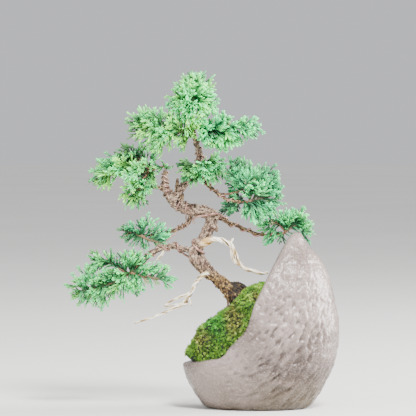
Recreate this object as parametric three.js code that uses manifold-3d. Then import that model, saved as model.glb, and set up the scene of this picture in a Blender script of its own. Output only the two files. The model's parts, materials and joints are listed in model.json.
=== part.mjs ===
// A small juniper bonsai in a boulder-shaped crescent pot.
// Millimetres, +Z up. The origin is on the underside of the pot's foot, below the middle of the pot.
// The front of the pot looks along -Y, and its tall horn stands at +X.
import * as THREE from "three";
import { mergeVertices } from "three/addons/utils/BufferGeometryUtils.js";
import Module from "manifold-3d";

const wasm = await Module();
wasm.setup();

// Driving dimensions
const GAP = 0.3; // clearance between neighbouring pieces
const WIRE_GAP = 0.22; // between a wire and the bark it lies on
const POT_HEIGHT = 109.1;
const POT_WALL = 5.5;
const POT_FLOOR = 6;
const CAVITY_HEIGHT = 96; // from the floor of the cavity to its closed top in the horn
const DRAIN_X = -14;
const DRAIN_RADIUS = 4.5;
const MOSS_THICKNESS = 5;
const SPRIG_RADIUS = 0.6; // cord-like juniper branchlets are 1.2 mm thick
const SHOOT_RADIUS = 0.75;
const CORE_RADIUS = 1.1;
const SPRIG_FOOT = 1.5; // length of stem that a sprig grows from
const SPRIG_ROOM = 1.25; // between the middles of two sprigs
const PAIR_SPACING = 7.5; // between pairs of sprigs along a shoot

// Section of the whole boulder before the crescent cut: [height, left x, right x, half depth]
const POT_RIBS = [
  [0, -31.7, 30.7, 23],
  [2.6, -34.8, 34.2, 25.4],
  [9, -39.2, 38.6, 29],
  [17, -44.2, 42.6, 32.4],
  [26, -46.9, 47.2, 34.8],
  [36, -47.6, 50, 36],
  [47, -47, 51, 36],
  [60, -43, 49.7, 34.5],
  [74, -33.5, 46.6, 31],
  [86, -20, 42.9, 26],
  [95, -6, 37.2, 20],
  [102, 6, 31, 14],
  [106.5, 14, 28.4, 9.5],
  [POT_HEIGHT, 20, 26.8, 5.5],
];

// The rim, seen along Y: [x, z] from the low lip to the tip of the horn
const RIM = [
  [-60, 28.6],
  [-46.5, 28],
  [-42.7, 28],
  [-38.4, 29.1],
  [-33.2, 30.5],
  [-28.2, 31.7],
  [-23.6, 32.4],
  [-19.7, 34.8],
  [-16.6, 39.1],
  [-11.2, 44.5],
  [-6.8, 49.9],
  [-3.6, 57.7],
  [-1.2, 65.4],
  [2.8, 73.9],
  [6.2, 81.4],
  [11, 90.8],
  [15.6, 99.7],
  [18.8, 105],
  [22.4, 110],
  [23, 116],
];

// Crest of the moss mound: [x, z], before its low end leans out over the lip
const CREST = [
  [-39.4, 31],
  [-38.8, 34.2],
  [-36.6, 39.6],
  [-35, 46],
  [-32.8, 52],
  [-27.8, 56.4],
  [-22.3, 59.6],
  [-18, 63.4],
  [-13.6, 68.8],
  [-8.1, 74],
  [-1.9, 76.2],
  [2.5, 76.9],
  [14, 77.6],
  [27, 77.2],
  [37.6, 76],
];
const LIP_LEAN = 7.4; // how far the moss leans out over the lip
const LIP_TOP = 28.9;

// Woody limbs: points are [x, y, z, radius]
const LIMBS = {
  trunk_lower: {
    sides: 8,
    steps: 13,
    points: [
      [-9.5, 0, 54, 3.4],
      [-11.5, 0, 62, 4.9],
      [-15.6, 0, 70.7, 4.5],
      [-22, -0.5, 77.2, 3.8],
      [-26.4, -0.8, 80.6, 3.4],
      [-33, -1, 86.2, 4.2],
      [-38.2, -1, 93.6, 4.8],
      [-37.8, -0.6, 99.5, 3.8],
      [-34.7, 0, 104.2, 3.3],
      [-31.3, 0.4, 109.7, 3.3],
      [-29.1, 0.4, 114.7, 3.8],
      [-29.3, 0, 119.6, 3.8],
    ],
  },
  trunk_upper: {
    sides: 7,
    steps: 11,
    points: [
      [-26.2, 0, 119.4, 3],
      [-32.2, 0, 121.4, 3.6],
      [-38.4, -0.5, 122.5, 3.7],
      [-44.6, -1, 123.7, 3.6],
      [-49.8, -1.4, 126.5, 3.7],
      [-54, -1.8, 130.8, 3.1],
      [-57.3, -2, 136, 2.2],
      [-57.7, -1.6, 141.4, 1.75],
      [-57.4, -1, 147.3, 1.4],
    ],
  },
  left_side_branch: {
    sides: 5,
    steps: 3,
    points: [
      [-56.4, -2, 135.2, 1.3],
      [-60.5, -2.6, 136.6, 1.1],
      [-65.5, -3.4, 136.8, 0.9],
      [-69.6, -4, 136.5, 0.8],
    ],
  },
  apex_limb: {
    sides: 6,
    steps: 12,
    points: [
      [-52, -1.4, 128.4, 2.8],
      [-48.6, -1.2, 134.4, 2.6],
      [-44.6, -0.8, 139.6, 2.2],
      [-40.3, -0.4, 143.2, 2.3],
      [-37.4, 0, 148.4, 2.5],
      [-36, 0.3, 155, 2.3],
      [-37.5, 0.3, 161.8, 1.7],
      [-39.7, 0, 169.3, 1.4],
      [-40.6, 0, 179.8, 1.1],
      [-40.8, 0, 188, 0.95],
    ],
  },
  lower_branch: {
    sides: 5,
    steps: 9,
    points: [
      [-38.5, -1, 97.4, 2],
      [-43.4, -1.6, 98.1, 1.8],
      [-47.7, -2, 98.9, 1.7],
      [-52.6, -2.4, 100.3, 1.6],
      [-58.7, -3, 99.3, 1.6],
      [-65, -3.4, 96.8, 1.6],
      [-68.6, -3.4, 93.2, 1.4],
      [-73.2, -3, 89.3, 1.15],
      [-78, -3, 85, 1],
    ],
  },
  second_branch: {
    sides: 4,
    steps: 8,
    points: [
      [-41.5, 0.5, 121.4, 1.7],
      [-42.6, 2.5, 116.2, 1.5],
      [-45.3, 3.6, 113.2, 1.3],
      [-48.4, 4.4, 111.6, 1.2],
      [-55.5, 5.4, 108.6, 1.05],
      [-63.4, 6.2, 107.2, 0.95],
      [-71.6, 7, 106.6, 0.85],
    ],
  },
  right_branch: {
    sides: 5,
    steps: 8,
    points: [
      [-28.5, 0.5, 119.6, 2],
      [-23, 3, 117.3, 1.5],
      [-17, 5.6, 114.2, 1.2],
      [-11, 8, 111.8, 1.1],
      [-4.2, 10.6, 108.6, 0.95],
      [2.8, 12.8, 106.7, 0.9],
      [8.6, 14, 107, 0.85],
      [14.2, 14.9, 107.8, 0.75],
    ],
  },
  upper_right_branch: {
    sides: 5,
    steps: 7,
    points: [
      [-37.3, -0.2, 147.2, 1.9],
      [-34.2, -2, 141.4, 1.3],
      [-29.8, -3.6, 137.4, 1.1],
      [-25, -5, 133.4, 1],
      [-20.4, -6, 130.2, 0.9],
      [-14.3, -6.7, 128.6, 0.85],
      [-8.3, -7, 128.1, 0.8],
    ],
  },
  upper_right_twig: {
    sides: 4,
    steps: 5,
    points: [
      [-24.4, -5, 133, 0.9],
      [-18.6, -5.6, 132.9, 0.75],
      [-14.3, -5, 133.6, 0.65],
      [-9.8, -4.4, 135.2, 0.6],
      [-5.6, -3.2, 138.4, 0.5],
    ],
  },
  high_left_branch: {
    sides: 5,
    steps: 3,
    points: [
      [-38.3, 0.2, 165, 1.1],
      [-39.8, -0.8, 168, 1],
      [-41.8, -1.9, 169.9, 0.9],
    ],
  },
  high_right_branch: {
    sides: 5,
    steps: 3,
    points: [
      [-37.8, 0.2, 163.6, 1.1],
      [-36.6, 0.6, 166, 1],
      [-35.2, 1, 167.8, 0.9],
    ],
  },
  front_branch: {
    sides: 5,
    steps: 3,
    points: [
      [-37, -0.6, 147.6, 1.4],
      [-36.8, -3.2, 148.8, 1.2],
      [-36.1, -5.4, 149.8, 1],
    ],
  },
  rear_branch: {
    sides: 5,
    steps: 5,
    points: [
      [-37.2, 0.6, 149, 1.7],
      [-33.4, 5.6, 149, 1.4],
      [-28, 10.6, 147, 1.1],
      [-22.4, 14.4, 145.4, 0.9],
    ],
  },
  root_mass: {
    sides: 6,
    steps: 4,
    points: [
      [-17.4, 0.4, 75.4, 2.4],
      [-13.6, 1, 73.6, 2.9],
      [-11.4, 1.2, 69.4, 2.5],
      [-10, 1, 63, 1.6],
    ],
  },
  root_right: {
    sides: 5,
    steps: 4,
    points: [
      [-17.5, 2, 75.6, 2.4],
      [-11.4, 3.4, 75.4, 2.3],
      [-6.6, 4.4, 72, 1.8],
      [-4.4, 5, 65, 1.3],
      [-3.4, 5.4, 56, 0.9],
    ],
  },
  root_thin: {
    sides: 4,
    steps: 4,
    points: [
      [-20.4, -2, 76.6, 1],
      [-18.9, -3.9, 72, 0.75],
      [-18.5, -4.4, 66, 0.7],
      [-18, -4.6, 57, 0.6],
    ],
  },
  root_front: {
    sides: 5,
    steps: 3,
    points: [
      [-11, -1, 60, 2.6],
      [-7.4, -6, 52, 1.8],
      [-3, -11, 42, 1],
    ],
  },
  root_back: {
    sides: 5,
    steps: 3,
    points: [
      [-11, 1, 60, 2.6],
      [-4, 8, 52, 1.8],
      [5, 13, 43, 1],
    ],
  },
  jin_right: {
    sides: 4,
    steps: 12,
    points: [
      [-36, -1.6, 101.4, 2.4],
      [-31, -2.8, 103.6, 2.1],
      [-27.9, -3.2, 104.4, 1.6],
      [-24, -3.2, 104.5, 1.35],
      [-20.3, -3, 103.3, 1.4],
      [-16.9, -2.8, 101.2, 1.35],
      [-14.9, -2.6, 97.2, 1.2],
      [-13, -2.6, 92.8, 1.1],
      [-10.6, -2.6, 88.8, 1.05],
      [-7.4, -2.4, 86.2, 1],
      [-3, -2, 85.2, 0.9],
      [1.5, -1.4, 83.6, 0.75],
      [6.5, -0.6, 83.8, 0.5],
    ],
  },
  jin_right_fork: {
    sides: 4,
    steps: 2,
    points: [
      [-17.6, -2.8, 101.6, 0.6],
      [-16.3, -3, 103.6, 0.5],
      [-15.2, -3.2, 105.6, 0.35],
    ],
  },
  jin_right_strand: {
    sides: 4,
    steps: 3,
    points: [
      [-16, -2.7, 99.8, 0.6],
      [-16.4, -3.3, 95.6, 0.5],
      [-14.2, -3.1, 90.6, 0.5],
      [-11.2, -2.7, 88.6, 0.4],
    ],
  },
  jin_left: {
    sides: 4,
    steps: 9,
    points: [
      [-29.4, -2.4, 83.2, 1.3],
      [-31.8, -4.4, 83.8, 1.35],
      [-34.4, -5, 82, 1.2],
      [-37, -5, 79.6, 1.15],
      [-39.1, -5, 76.6, 1.1],
      [-40.4, -5, 73, 1.1],
      [-42.2, -5, 70.2, 1.05],
      [-44.2, -5, 67.6, 1.05],
      [-45.2, -5, 65.4, 0.9],
    ],
  },
  jin_left_twig_high: {
    sides: 4,
    steps: 4,
    points: [
      [-41.4, -5, 71.4, 0.75],
      [-45.6, -5.6, 70, 0.6],
      [-52.8, -6.6, 66.9, 0.5],
      [-57.2, -7.2, 64.2, 0.45],
    ],
  },
  jin_left_twig_middle: {
    sides: 4,
    steps: 3,
    points: [
      [-44.8, -5, 65.2, 0.8],
      [-49.5, -4.4, 64.1, 0.7],
      [-53.4, -3.8, 63.2, 0.6],
      [-58, -3.2, 63.3, 0.45],
    ],
  },
  jin_left_twig_low: {
    sides: 4,
    steps: 5,
    points: [
      [-44.6, -5.2, 65, 0.8],
      [-50.8, -6, 62.6, 0.7],
      [-58.7, -6.6, 58.9, 0.65],
      [-64.7, -7, 56.5, 0.6],
      [-70.6, -7.2, 54.6, 0.5],
      [-76.3, -7.2, 52.8, 0.4],
    ],
  },
  jin_left_stub: {
    sides: 4,
    steps: 2,
    points: [
      [-42.6, -5, 69, 0.7],
      [-41.8, -5.3, 66.4, 0.55],
      [-41, -5.6, 63.8, 0.35],
    ],
  },
  spur_below_bend: {
    sides: 5,
    steps: 2,
    points: [
      [-28.4, -1.4, 114.6, 2.2],
      [-26.4, -2, 112, 1.8],
      [-25.4, -2.2, 109.4, 0.8],
    ],
  },
  cut_stub: {
    sides: 6,
    steps: 2,
    points: [
      [-49.8, -2.2, 134.6, 1.5],
      [-50, -2.8, 138.2, 1.2],
      [-49.7, -3.2, 142.4, 0.8],
    ],
  },
  bark_fin: {
    sides: 5,
    steps: 2,
    points: [
      [-48, -2.8, 127.6, 1.7],
      [-46.8, -3.4, 130.6, 1.1],
      [-46, -3.8, 133.4, 0.5],
    ],
  },
  pale_side_twig: {
    sides: 4,
    steps: 3,
    points: [
      [-57.6, -3.6, 98.8, 0.6],
      [-59.4, -5, 95.4, 0.5],
      [-62.6, -6, 91.8, 0.4],
    ],
  },
};

// Swellings on the bark: [x, y, z, radius]
const KNOTS = [
  [-31, -3.6, 88.6, 1.9],
  [-21.4, -3, 80.4, 1.5],
  [-41.6, -3.6, 97.4, 1.6],
  [-27.2, -1.6, 118.6, 2.7],
  [-44.6, -5, 65.6, 1.7],
  [-52.4, -3.2, 131.8, 2.2],
];

// Pits in the bark: [x, y, z, half width, half depth, half height]
const PITS = [
  [-49.2, -5.2, 127.2, 1.1, 1.6, 1.9],
  [-36.3, -5, 97, 0.7, 1.3, 2.6],
];

// Wires: each follows runs of points and turns round limbs; start is in degrees from the front
const WIRES = {
  wire_lower_branch: {
    radius: 0.7,
    sides: 4,
    runs: [
      { limb: "trunk_lower", from: 0.72, to: 0.52, turns: -1.05, start: 180 },
      { limb: "lower_branch", from: 0.24, to: 0.86, turns: -3.2, start: 110 },
    ],
  },
  wire_right_branch: {
    radius: 0.62,
    sides: 3,
    runs: [
      { points: [[-39.6, -2.6, 114.4], [-39.9, -3.6, 117.2], [-37.6, -5.2, 118.7]] },
      { points: [[-32.4, -5.6, 119.6], [-28.2, -5.6, 120.4], [-24.6, -3.4, 120.6]] },
      { limb: "right_branch", from: 0.2, to: 0.86, turns: 4, start: 70 },
    ],
  },
  wire_second_branch: {
    radius: 0.45,
    sides: 3,
    runs: [
      { limb: "trunk_upper", from: 0.5, to: 0.38, turns: 1.1, start: 330 },
      { limb: "second_branch", from: 0.32, to: 0.56, turns: 1.9, start: 60 },
      { points: [[-51.6, 2.4, 108], [-53.4, 1.4, 106.4], [-57.1, 0.6, 103.4]] },
    ],
  },
  wire_left_limb_inner: {
    radius: 0.45,
    sides: 3,
    runs: [{ limb: "trunk_upper", from: 0.66, to: 0.95, turns: 2.2, start: 20 }],
  },
  wire_left_limb_outer: {
    radius: 0.45,
    sides: 3,
    runs: [{ limb: "trunk_upper", from: 0.66, to: 0.97, turns: 2.2, start: 200 }],
  },
  wire_apex_limb: {
    radius: 0.5,
    sides: 3,
    runs: [{ limb: "apex_limb", from: 0.485, to: 0.655, turns: 2, start: 300 }],
  },
  wire_upper_right_branch: {
    radius: 0.45,
    sides: 3,
    runs: [{ limb: "upper_right_branch", from: 0.3, to: 0.9, turns: 3.6, start: 90 }],
  },
};

// Leafy stems: each has woody spines and the tips that its shoots reach
const SPRAYS = {
  foliage_lower_left: {
    seed: 11,
    limb: "lower_branch",
    spines: [
      [[-85.5, -4, 80], [-95, -4, 75.5], [-104, -5, 73], [-112, -5, 72]],
      [[-81, -3, 83], [-87, -1, 87], [-93, 1, 90], [-98, 2, 90]],
      [[-79.2, -3.2, 84], [-74, -7, 82.4], [-64, -10, 81], [-56.5, -11, 80]],
    ],
    tips: [
      [-113, -4, 63], [-120, -6, 78], [-116.5, 2, 67.5], [-115, -8, 62.5], [-93, -8, 65], [-77.5, -9, 71.5],
      [-50, -12, 76.5], [-49, -9, 82], [-108, -5, 88.5], [-96, 8, 95.5], [-84, 3, 101],
      [-63, -9, 91], [-54, -8, 87.5], [-88, -2, 96], [-104, -14, 79], [-85.5, -18, 76.5],
      [-73, -17, 79.5], [-108, 13, 77], [-101, -4, 64.5], [-104, -3, 90], [-76, -6, 100],
      [-72, -10, 89],
    ],
  },
  foliage_second_left: {
    seed: 12,
    limb: "second_branch",
    spines: [
      [[-75.5, 7.4, 107.2], [-80.5, 8, 108.6], [-84.5, 9, 109.5]],
      [[-73.6, 7.2, 106.9], [-68, 3.6, 104], [-60.5, 1.6, 102.4]],
    ],
    tips: [
      [-85.5, 5, 111], [-81, 10, 114], [-76.5, 6, 117], [-72, 12, 119], [-68, 5, 121],
      [-62, 6, 119.5], [-79.5, 8, 99], [-72, 12, 97], [-78, 18, 105.5], [-54, 2, 100],
      [-62, -1, 98.5], [-52.5, 1, 106],
    ],
  },
  foliage_left: {
    seed: 13,
    limb: "trunk_upper",
    spines: [
      [[-61, -1, 149], [-73, -2, 146], [-84, -3, 146.8], [-96, -4, 147.5]],
      [[-66, -1, 146.6], [-73, 0, 154], [-78.5, 1, 157.5]],
      [[-67, -1, 146.6], [-73, -4, 139], [-75.5, -5, 132]],
    ],
    tips: [
      [-88.5, 2, 161], [-98.5, 3, 156], [-104, -2, 147], [-103, 1, 140], [-97, -8, 137.5],
      [-87, -8, 131], [-83.5, -4, 124], [-74.5, -3, 123], [-59.5, -5, 153.5], [-64, -4, 161],
      [-73, -2, 166], [-92, -14, 150.5], [-83, -17, 142.5], [-74.5, -14, 150], [-78, -14, 135],
      [-93, 12, 154], [-74.5, 13, 144],
    ],
  },
  foliage_left_side: {
    seed: 14,
    limb: "left_side_branch",
    spines: [[[-73, -5.6, 136], [-75, -7, 135.4]]],
    tips: [[-70, -14, 131], [-66, -13, 138], [-75, -16, 141]],
  },
  foliage_upper_left: {
    seed: 15,
    limb: "high_left_branch",
    spines: [
      [[-50, -4, 171], [-61, -3, 173.5], [-73, -3, 177.5]],
    ],
    tips: [
      [-82.5, -3, 180.5], [-82, 0, 172.5], [-76, 2, 184], [-69, -3, 187.5], [-78, -5, 168],
      [-69, -4, 160], [-60, -2, 159], [-52, 0, 161], [-59, -2, 185], [-67, -12, 177.5],
      [-56, -13, 171], [-62, 9, 180], [-50, -8, 183], [-45, -10, 166], [-40, -12, 168],
      [-38, -12, 177],
    ],
  },
  foliage_apex: {
    seed: 16,
    limb: "apex_limb",
    spines: [[[-41.4, 0, 194], [-41.8, 0, 200]]],
    tips: [
      [-41.5, 0, 209], [-46, -3, 207.5], [-29, 2, 206.5], [-22.5, 0, 193], [-23, -3, 187],
      [-27, 5, 184], [-51.5, -4, 201], [-57.5, 0, 195.5], [-57, 2, 189], [-44.5, -14, 197],
      [-34, -14, 184], [-46, -12, 184.5], [-42, 13, 198.5], [-34.5, 15, 191],
    ],
  },
  foliage_upper_right: {
    seed: 17,
    limb: "high_right_branch",
    spines: [[[-26.5, 2, 171.5], [-16, 3, 173.5], [-6, 3, 174]]],
    tips: [
      [-22.5, 2, 183.5], [-6, 4, 180.5], [4.5, 2, 172.5], [-1, -4, 168], [-11, -2, 162.5],
      [-22.5, -4, 162.5], [-13, 3, 158.5], [-31, -6, 162], [-11, -11, 171], [-18.5, 12, 167.5],
      [-8.5, 13, 175], [-30, 8, 178], [-33, -9, 181], [-36, -9, 174],
    ],
  },
  foliage_front: {
    seed: 18,
    limb: "front_branch",
    spines: [
      [[-34.5, -9.6, 151], [-33, -14, 151.5]],
    ],
    tips: [
      [-50.5, -10, 147], [-48, -12, 141.5], [-42, -14, 138], [-33, -14, 138], [-26, -12, 141],
      [-18, -12, 145.5], [-18.5, -13, 152], [-24, -15, 157], [-32, -24, 150.5],
    ],
  },
  foliage_right: {
    seed: 19,
    limb: "upper_right_branch",
    spines: [
      [[-2.5, -6.6, 128.6], [3.5, -5, 130], [8.5, -4, 132]],
      [[-4.6, -6.8, 128.6], [-4.8, -8, 135], [-4, -8.6, 143]],
    ],
    tips: [
      [-11, 0, 157], [-4.5, -5, 154], [4.5, -4, 153], [11, 0, 152], [13.5, -6, 148],
      [15.5, -5, 139], [17.5, -2, 127], [11, -6, 119], [-7.5, -9, 116], [-15, -5, 121],
      [-20, 2, 141], [-1, -17, 142.5], [6, -16, 137.5], [-8.5, -18, 134], [2.5, 11, 147.5],
      [-18, -2, 157],
    ],
  },
  foliage_far_right: {
    seed: 20,
    limb: "right_branch",
    spines: [
      [[19, 16, 110.4], [24, 17, 113], [28.5, 17, 114]],
      [[16.9, 15.2, 109.2], [12, 13, 114], [6, 11.5, 116.5]],
    ],
    tips: [
      [17.5, 13, 124], [28, 14, 125], [32, 18, 114.5], [36, 14, 108], [34, 18, 103],
      [28, 22, 106.5], [12, 17, 102.5], [20, 24, 105.5], [26, 27, 115.5], [-3, 11, 114],
      [3, 12, 121], [8, 14, 100],
    ],
  },
  foliage_rear: {
    seed: 21,
    limb: "rear_branch",
    spines: [[[-16.5, 20, 144.6], [-13, 25, 145]]],
    tips: [
      [-21, 20, 149], [-10, 27, 140.5], [-6, 31, 145.5], [-8.5, 30, 152], [-15, 26, 154.5],
      [-13, 36, 147], [-19.5, 21, 138],
    ],
  },
};

// A seeded source of random numbers from 0 to 1
function randomSource(seed) {
  let state = seed >>> 0;
  return () => {
    state = (state + 0x6d2b79f5) >>> 0;
    let mixed = Math.imul(state ^ (state >>> 15), state | 1);
    mixed ^= mixed + Math.imul(mixed ^ (mixed >>> 7), mixed | 61);
    return ((mixed ^ (mixed >>> 14)) >>> 0) / 4294967296;
  };
}

const vector = (p) => new THREE.Vector3(p[0], p[1], p[2]);
const lerp = THREE.MathUtils.lerp;

// The row of numbers at a place u from 0 to 1 along a list of rows, on a smooth curve
function rowAt(rows, u) {
  const place = Math.min(Math.max(u, 0), 1) * (rows.length - 1);
  const i = Math.min(Math.floor(place), rows.length - 2);
  const t = place - i;
  const row = (k) => rows[Math.min(Math.max(k, 0), rows.length - 1)];
  return rows[0].map((_, c) => {
    const [a, b, d, e] = [row(i - 1)[c], row(i)[c], row(i + 1)[c], row(i + 2)[c]];
    return b + 0.5 * t * (d - a + t * (2 * a - 5 * b + 4 * d - e + t * (3 * (b - d) + e - a)));
  });
}

// The value in column c where column 0 is x, in straight steps
function valueAt(rows, x, c = 1) {
  if (x <= rows[0][0]) return rows[0][c];
  for (let i = 1; i < rows.length; i++) {
    if (x <= rows[i][0]) {
      const t = (x - rows[i - 1][0]) / (rows[i][0] - rows[i - 1][0]);
      return lerp(rows[i - 1][c], rows[i][c], t);
    }
  }
  return rows[rows.length - 1][c];
}

// Gentle unevenness from -1 to 1 whose bumps are about as wide as size
function unevenness(p, size, shift = 0) {
  const k = (2 * Math.PI) / (size * 2);
  const a = Math.sin(k * (p.x + 0.6 * p.y) + shift) * Math.cos(k * (0.8 * p.z - 0.5 * p.x) + 1.3 * shift);
  const b = Math.sin(k * 1.7 * (p.y - 0.4 * p.z) + 2.1 + shift) * Math.cos(k * 1.5 * (p.x + p.z) - shift);
  return 0.6 * a + 0.4 * b;
}

// Turns a three.js geometry into a solid that can be joined and cut
function solid(geometry) {
  const bare = geometry.clone();
  bare.deleteAttribute("normal");
  bare.deleteAttribute("uv");
  const merged = mergeVertices(bare, 1e-4);
  const mesh = new wasm.Mesh({
    numProp: 3,
    vertProperties: new Float32Array(merged.attributes.position.array),
    triVerts: new Uint32Array(merged.index.array),
  });
  return new wasm.Manifold(mesh);
}

// Drops points that shape it by less than a tolerance, and keeps the largest body,
// so that a sealed hollow is filled and loose scraps are gone
function tidied(shape, tolerance) {
  const bodies = shape.simplify(tolerance).decompose();
  return bodies.sort((a, b) => b.volume() - a.volume())[0];
}

function geometryOf(shape) {
  const mesh = shape.getMesh();
  const geometry = new THREE.BufferGeometry();
  geometry.setAttribute("position", new THREE.BufferAttribute(mesh.vertProperties, 3));
  geometry.setIndex(new THREE.BufferAttribute(mesh.triVerts, 1));
  geometry.computeVertexNormals();
  return geometry;
}

// A closed rod: place(u, angle, rho) gives the point of a unit rod's vertex
function rod(sides, steps, place) {
  const geometry = new THREE.CylinderGeometry(1, 1, 1, sides, steps);
  const positions = geometry.attributes.position;
  for (let i = 0; i < positions.count; i++) {
    const x = positions.getX(i);
    const z = positions.getZ(i);
    const rho = Math.min(Math.hypot(x, z), 1);
    const p = place(positions.getY(i) + 0.5, Math.atan2(z, x), rho);
    positions.setXYZ(i, p.x, p.y, p.z);
  }
  return geometry;
}

// The frame of a limb at u: centre, direction, two cross directions and radius
function limbFrame(rows, u) {
  const centre = rowAt(rows, u);
  const ahead = vector(rowAt(rows, Math.min(u + 0.01, 1)));
  const behind = vector(rowAt(rows, Math.max(u - 0.01, 0)));
  const along = ahead.sub(behind).normalize();
  const toFront = new THREE.Vector3(0, -1, 0);
  toFront.addScaledVector(along, -toFront.dot(along)).normalize();
  const across = new THREE.Vector3().crossVectors(toFront, along);
  return { centre: vector(centre), along, toFront, across, radius: centre[3] };
}

// A tapered limb with a rounded free end; extra widens it to make the hole that it stands in
function limbSolid(limb, extra = 0) {
  const { sides, steps, points } = limb;
  const geometry = rod(sides, steps, (u, angle, rho) => {
    const frame = limbFrame(points, u);
    const grain = 1 + 0.07 * unevenness(frame.centre, 4, 3 * Math.cos(angle));
    const tip = u > 0.999 && extra === 0 ? 0.6 : 1;
    const reach = rho * (frame.radius * grain * tip + extra);
    return frame.centre
      .addScaledVector(frame.toFront, reach * Math.cos(angle))
      .addScaledVector(frame.across, reach * Math.sin(angle))
      .addScaledVector(frame.along, u > 0.999 ? extra : 0);
  });
  return solid(geometry);
}

function ball(x, y, z, rx, ry, rz) {
  const geometry = new THREE.SphereGeometry(1, 5, 3);
  geometry.scale(rx, ry, rz);
  geometry.translate(x, y, z);
  return solid(geometry);
}

// Pot
// One egg-shaped boulder; inset shrinks it for the cavity or, below zero, grows it
function boulder(inset, sides, steps, bottom, top, bumps) {
  const geometry = rod(sides, steps, (u, angle, rho) => {
    const [height, left, right, depth] = rowAt(POT_RIBS, u);
    const centre = (left + right) / 2;
    const reach = (right - left) / 2 - inset;
    const p = new THREE.Vector3(
      centre + rho * reach * Math.cos(angle),
      -rho * (depth - inset) * Math.sin(angle),
      lerp(bottom, top, height / POT_HEIGHT),
    );
    const swell = bumps * Math.min(height / 8, 1) * rho * unevenness(p, 11);
    p.x += swell * Math.cos(angle);
    p.y -= swell * Math.sin(angle);
    return p;
  });
  return solid(geometry);
}

function cavity(extra) {
  const inset = POT_WALL + extra;
  const bottom = POT_FLOOR + extra;
  return boulder(inset, 24, 10, bottom, POT_FLOOR + CAVITY_HEIGHT - extra, 0);
}

// Everything above the rim, lifted by a height
function crescentCut(lift) {
  const outline = new THREE.Shape();
  outline.moveTo(RIM[0][0], RIM[0][1] + lift);
  RIM.slice(1).forEach(([x, z]) => outline.lineTo(x - 0.4 * lift, z + lift));
  outline.lineTo(23, 130);
  outline.lineTo(-60, 130);
  outline.closePath();
  const geometry = new THREE.ExtrudeGeometry(outline, { depth: 100, bevelEnabled: false });
  geometry.translate(0, 0, -50);
  geometry.rotateX(Math.PI / 2);
  return solid(geometry);
}

function makePot() {
  const drain = new THREE.CylinderGeometry(DRAIN_RADIUS, DRAIN_RADIUS, 20, 20);
  drain.rotateX(Math.PI / 2);
  drain.translate(DRAIN_X, 0, 0);
  const shell = boulder(0, 30, 15, 0, POT_HEIGHT, 0.8).subtract(crescentCut(0));
  return tidied(shell.subtract(cavity(0)).subtract(solid(drain)), 0.08);
}

// Drainage mesh
function makeDrainageMesh() {
  const size = 17;
  const thickness = 0.8;
  const pitch = 4.6;
  const holeSize = 3.2;
  const sheet = new THREE.BoxGeometry(size, size, thickness);
  sheet.translate(DRAIN_X, 0, POT_FLOOR + GAP + thickness / 2);
  let mesh = solid(sheet);
  for (let i = -1; i < 2; i++) {
    for (let j = -1; j < 2; j++) {
      const hole = new THREE.BoxGeometry(holeSize, holeSize, 3 * thickness);
      hole.translate(DRAIN_X + i * pitch, j * pitch, POT_FLOOR + GAP + thickness / 2);
      mesh = mesh.subtract(solid(hole));
    }
  }
  return mesh;
}

// Soil and moss
// Half the depth of the boulder at x and z
function halfDepth(x, z, inset) {
  const [, left, right, depth] = [0, 1, 2, 3].map((c) => valueAt(POT_RIBS, z, c));
  const across = (x - (left + right) / 2) / ((right - left) / 2 - inset);
  return Math.sqrt(Math.max(1 - across * across, 0)) * (depth - inset);
}

function cavityHalfDepth(x, z, clearance) {
  return halfDepth(x, ((z - POT_FLOOR) / CAVITY_HEIGHT) * POT_HEIGHT, POT_WALL + clearance);
}

// A grid block under the mound's surface: top and bottom are depths below that surface
function moundBlock(top, bottom, bumps) {
  const geometry = new THREE.BoxGeometry(2, 2, 1, 17, 9, 1);
  const positions = geometry.attributes.position;
  const first = CREST[0][0];
  const last = CREST[CREST.length - 1][0];
  for (let i = 0; i < positions.count; i++) {
    const s = 0.5 - 0.5 * Math.cos(((positions.getX(i) + 1) / 2) * Math.PI);
    const t = positions.getY(i);
    const isTop = positions.getZ(i) > 0;
    const depth = isTop ? top : bottom;
    const x = lerp(first, last, s);
    const crest = valueAt(CREST, x);
    const edge = Math.min(valueAt(RIM, x), crest) - 2;
    const width = Math.max(cavityHalfDepth(x, edge, 1.2), 3);
    const rise = 1 - Math.pow(Math.abs(t), 2.3);
    const p = new THREE.Vector3(x, t * width, edge + (crest - edge) * rise);
    const lift = isTop ? bumps * rise * unevenness(p, 6) : 0;
    p.x += 0.45 * depth - 0.5 * lift;
    p.z += lift - 0.9 * depth;
    const lean = Math.min(Math.max((p.z - LIP_TOP) / 3.8, 0), 1) * Math.max((-30 - x) / 10, 0);
    positions.setXYZ(i, p.x - LIP_LEAN * lean, p.y, p.z);
  }
  splitAlike(geometry);
  return solid(geometry);
}

// Turns the diagonals of a block's bottom face, so that it is split into triangles as its top is
function splitAlike(geometry) {
  const { index, groups } = geometry;
  const bottom = groups[5];
  for (let i = bottom.start; i < bottom.start + bottom.count; i += 6) {
    const [a, b, d, c] = [0, 1, 2, 4].map((k) => index.getX(i + k));
    [a, b, c, a, c, d].forEach((corner, k) => index.setX(i + k, corner));
  }
}

// The holes that the trunk and its roots stand in
function rootHoles() {
  const names = ["trunk_lower", "root_mass", "root_right", "root_thin", "root_front", "root_back"];
  return names.map((name) => limbSolid(LIMBS[name], GAP + 0.1)).reduce((a, b) => a.add(b));
}

function makeSoil(holes) {
  const clearOfMesh = POT_FLOOR + 2 * GAP + 0.8;
  const below = new THREE.BoxGeometry(200, 200, 20);
  below.translate(0, 0, clearOfMesh - 10);
  const filling = moundBlock(MOSS_THICKNESS + 4 * GAP, 150, 0).intersect(cavity(GAP));
  return tidied(filling.subtract(solid(below)).subtract(holes), 0.15);
}

function makeMoss(holes) {
  return tidied(moundBlock(0, MOSS_THICKNESS, 0.9).subtract(holes), 0.05);
}

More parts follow.
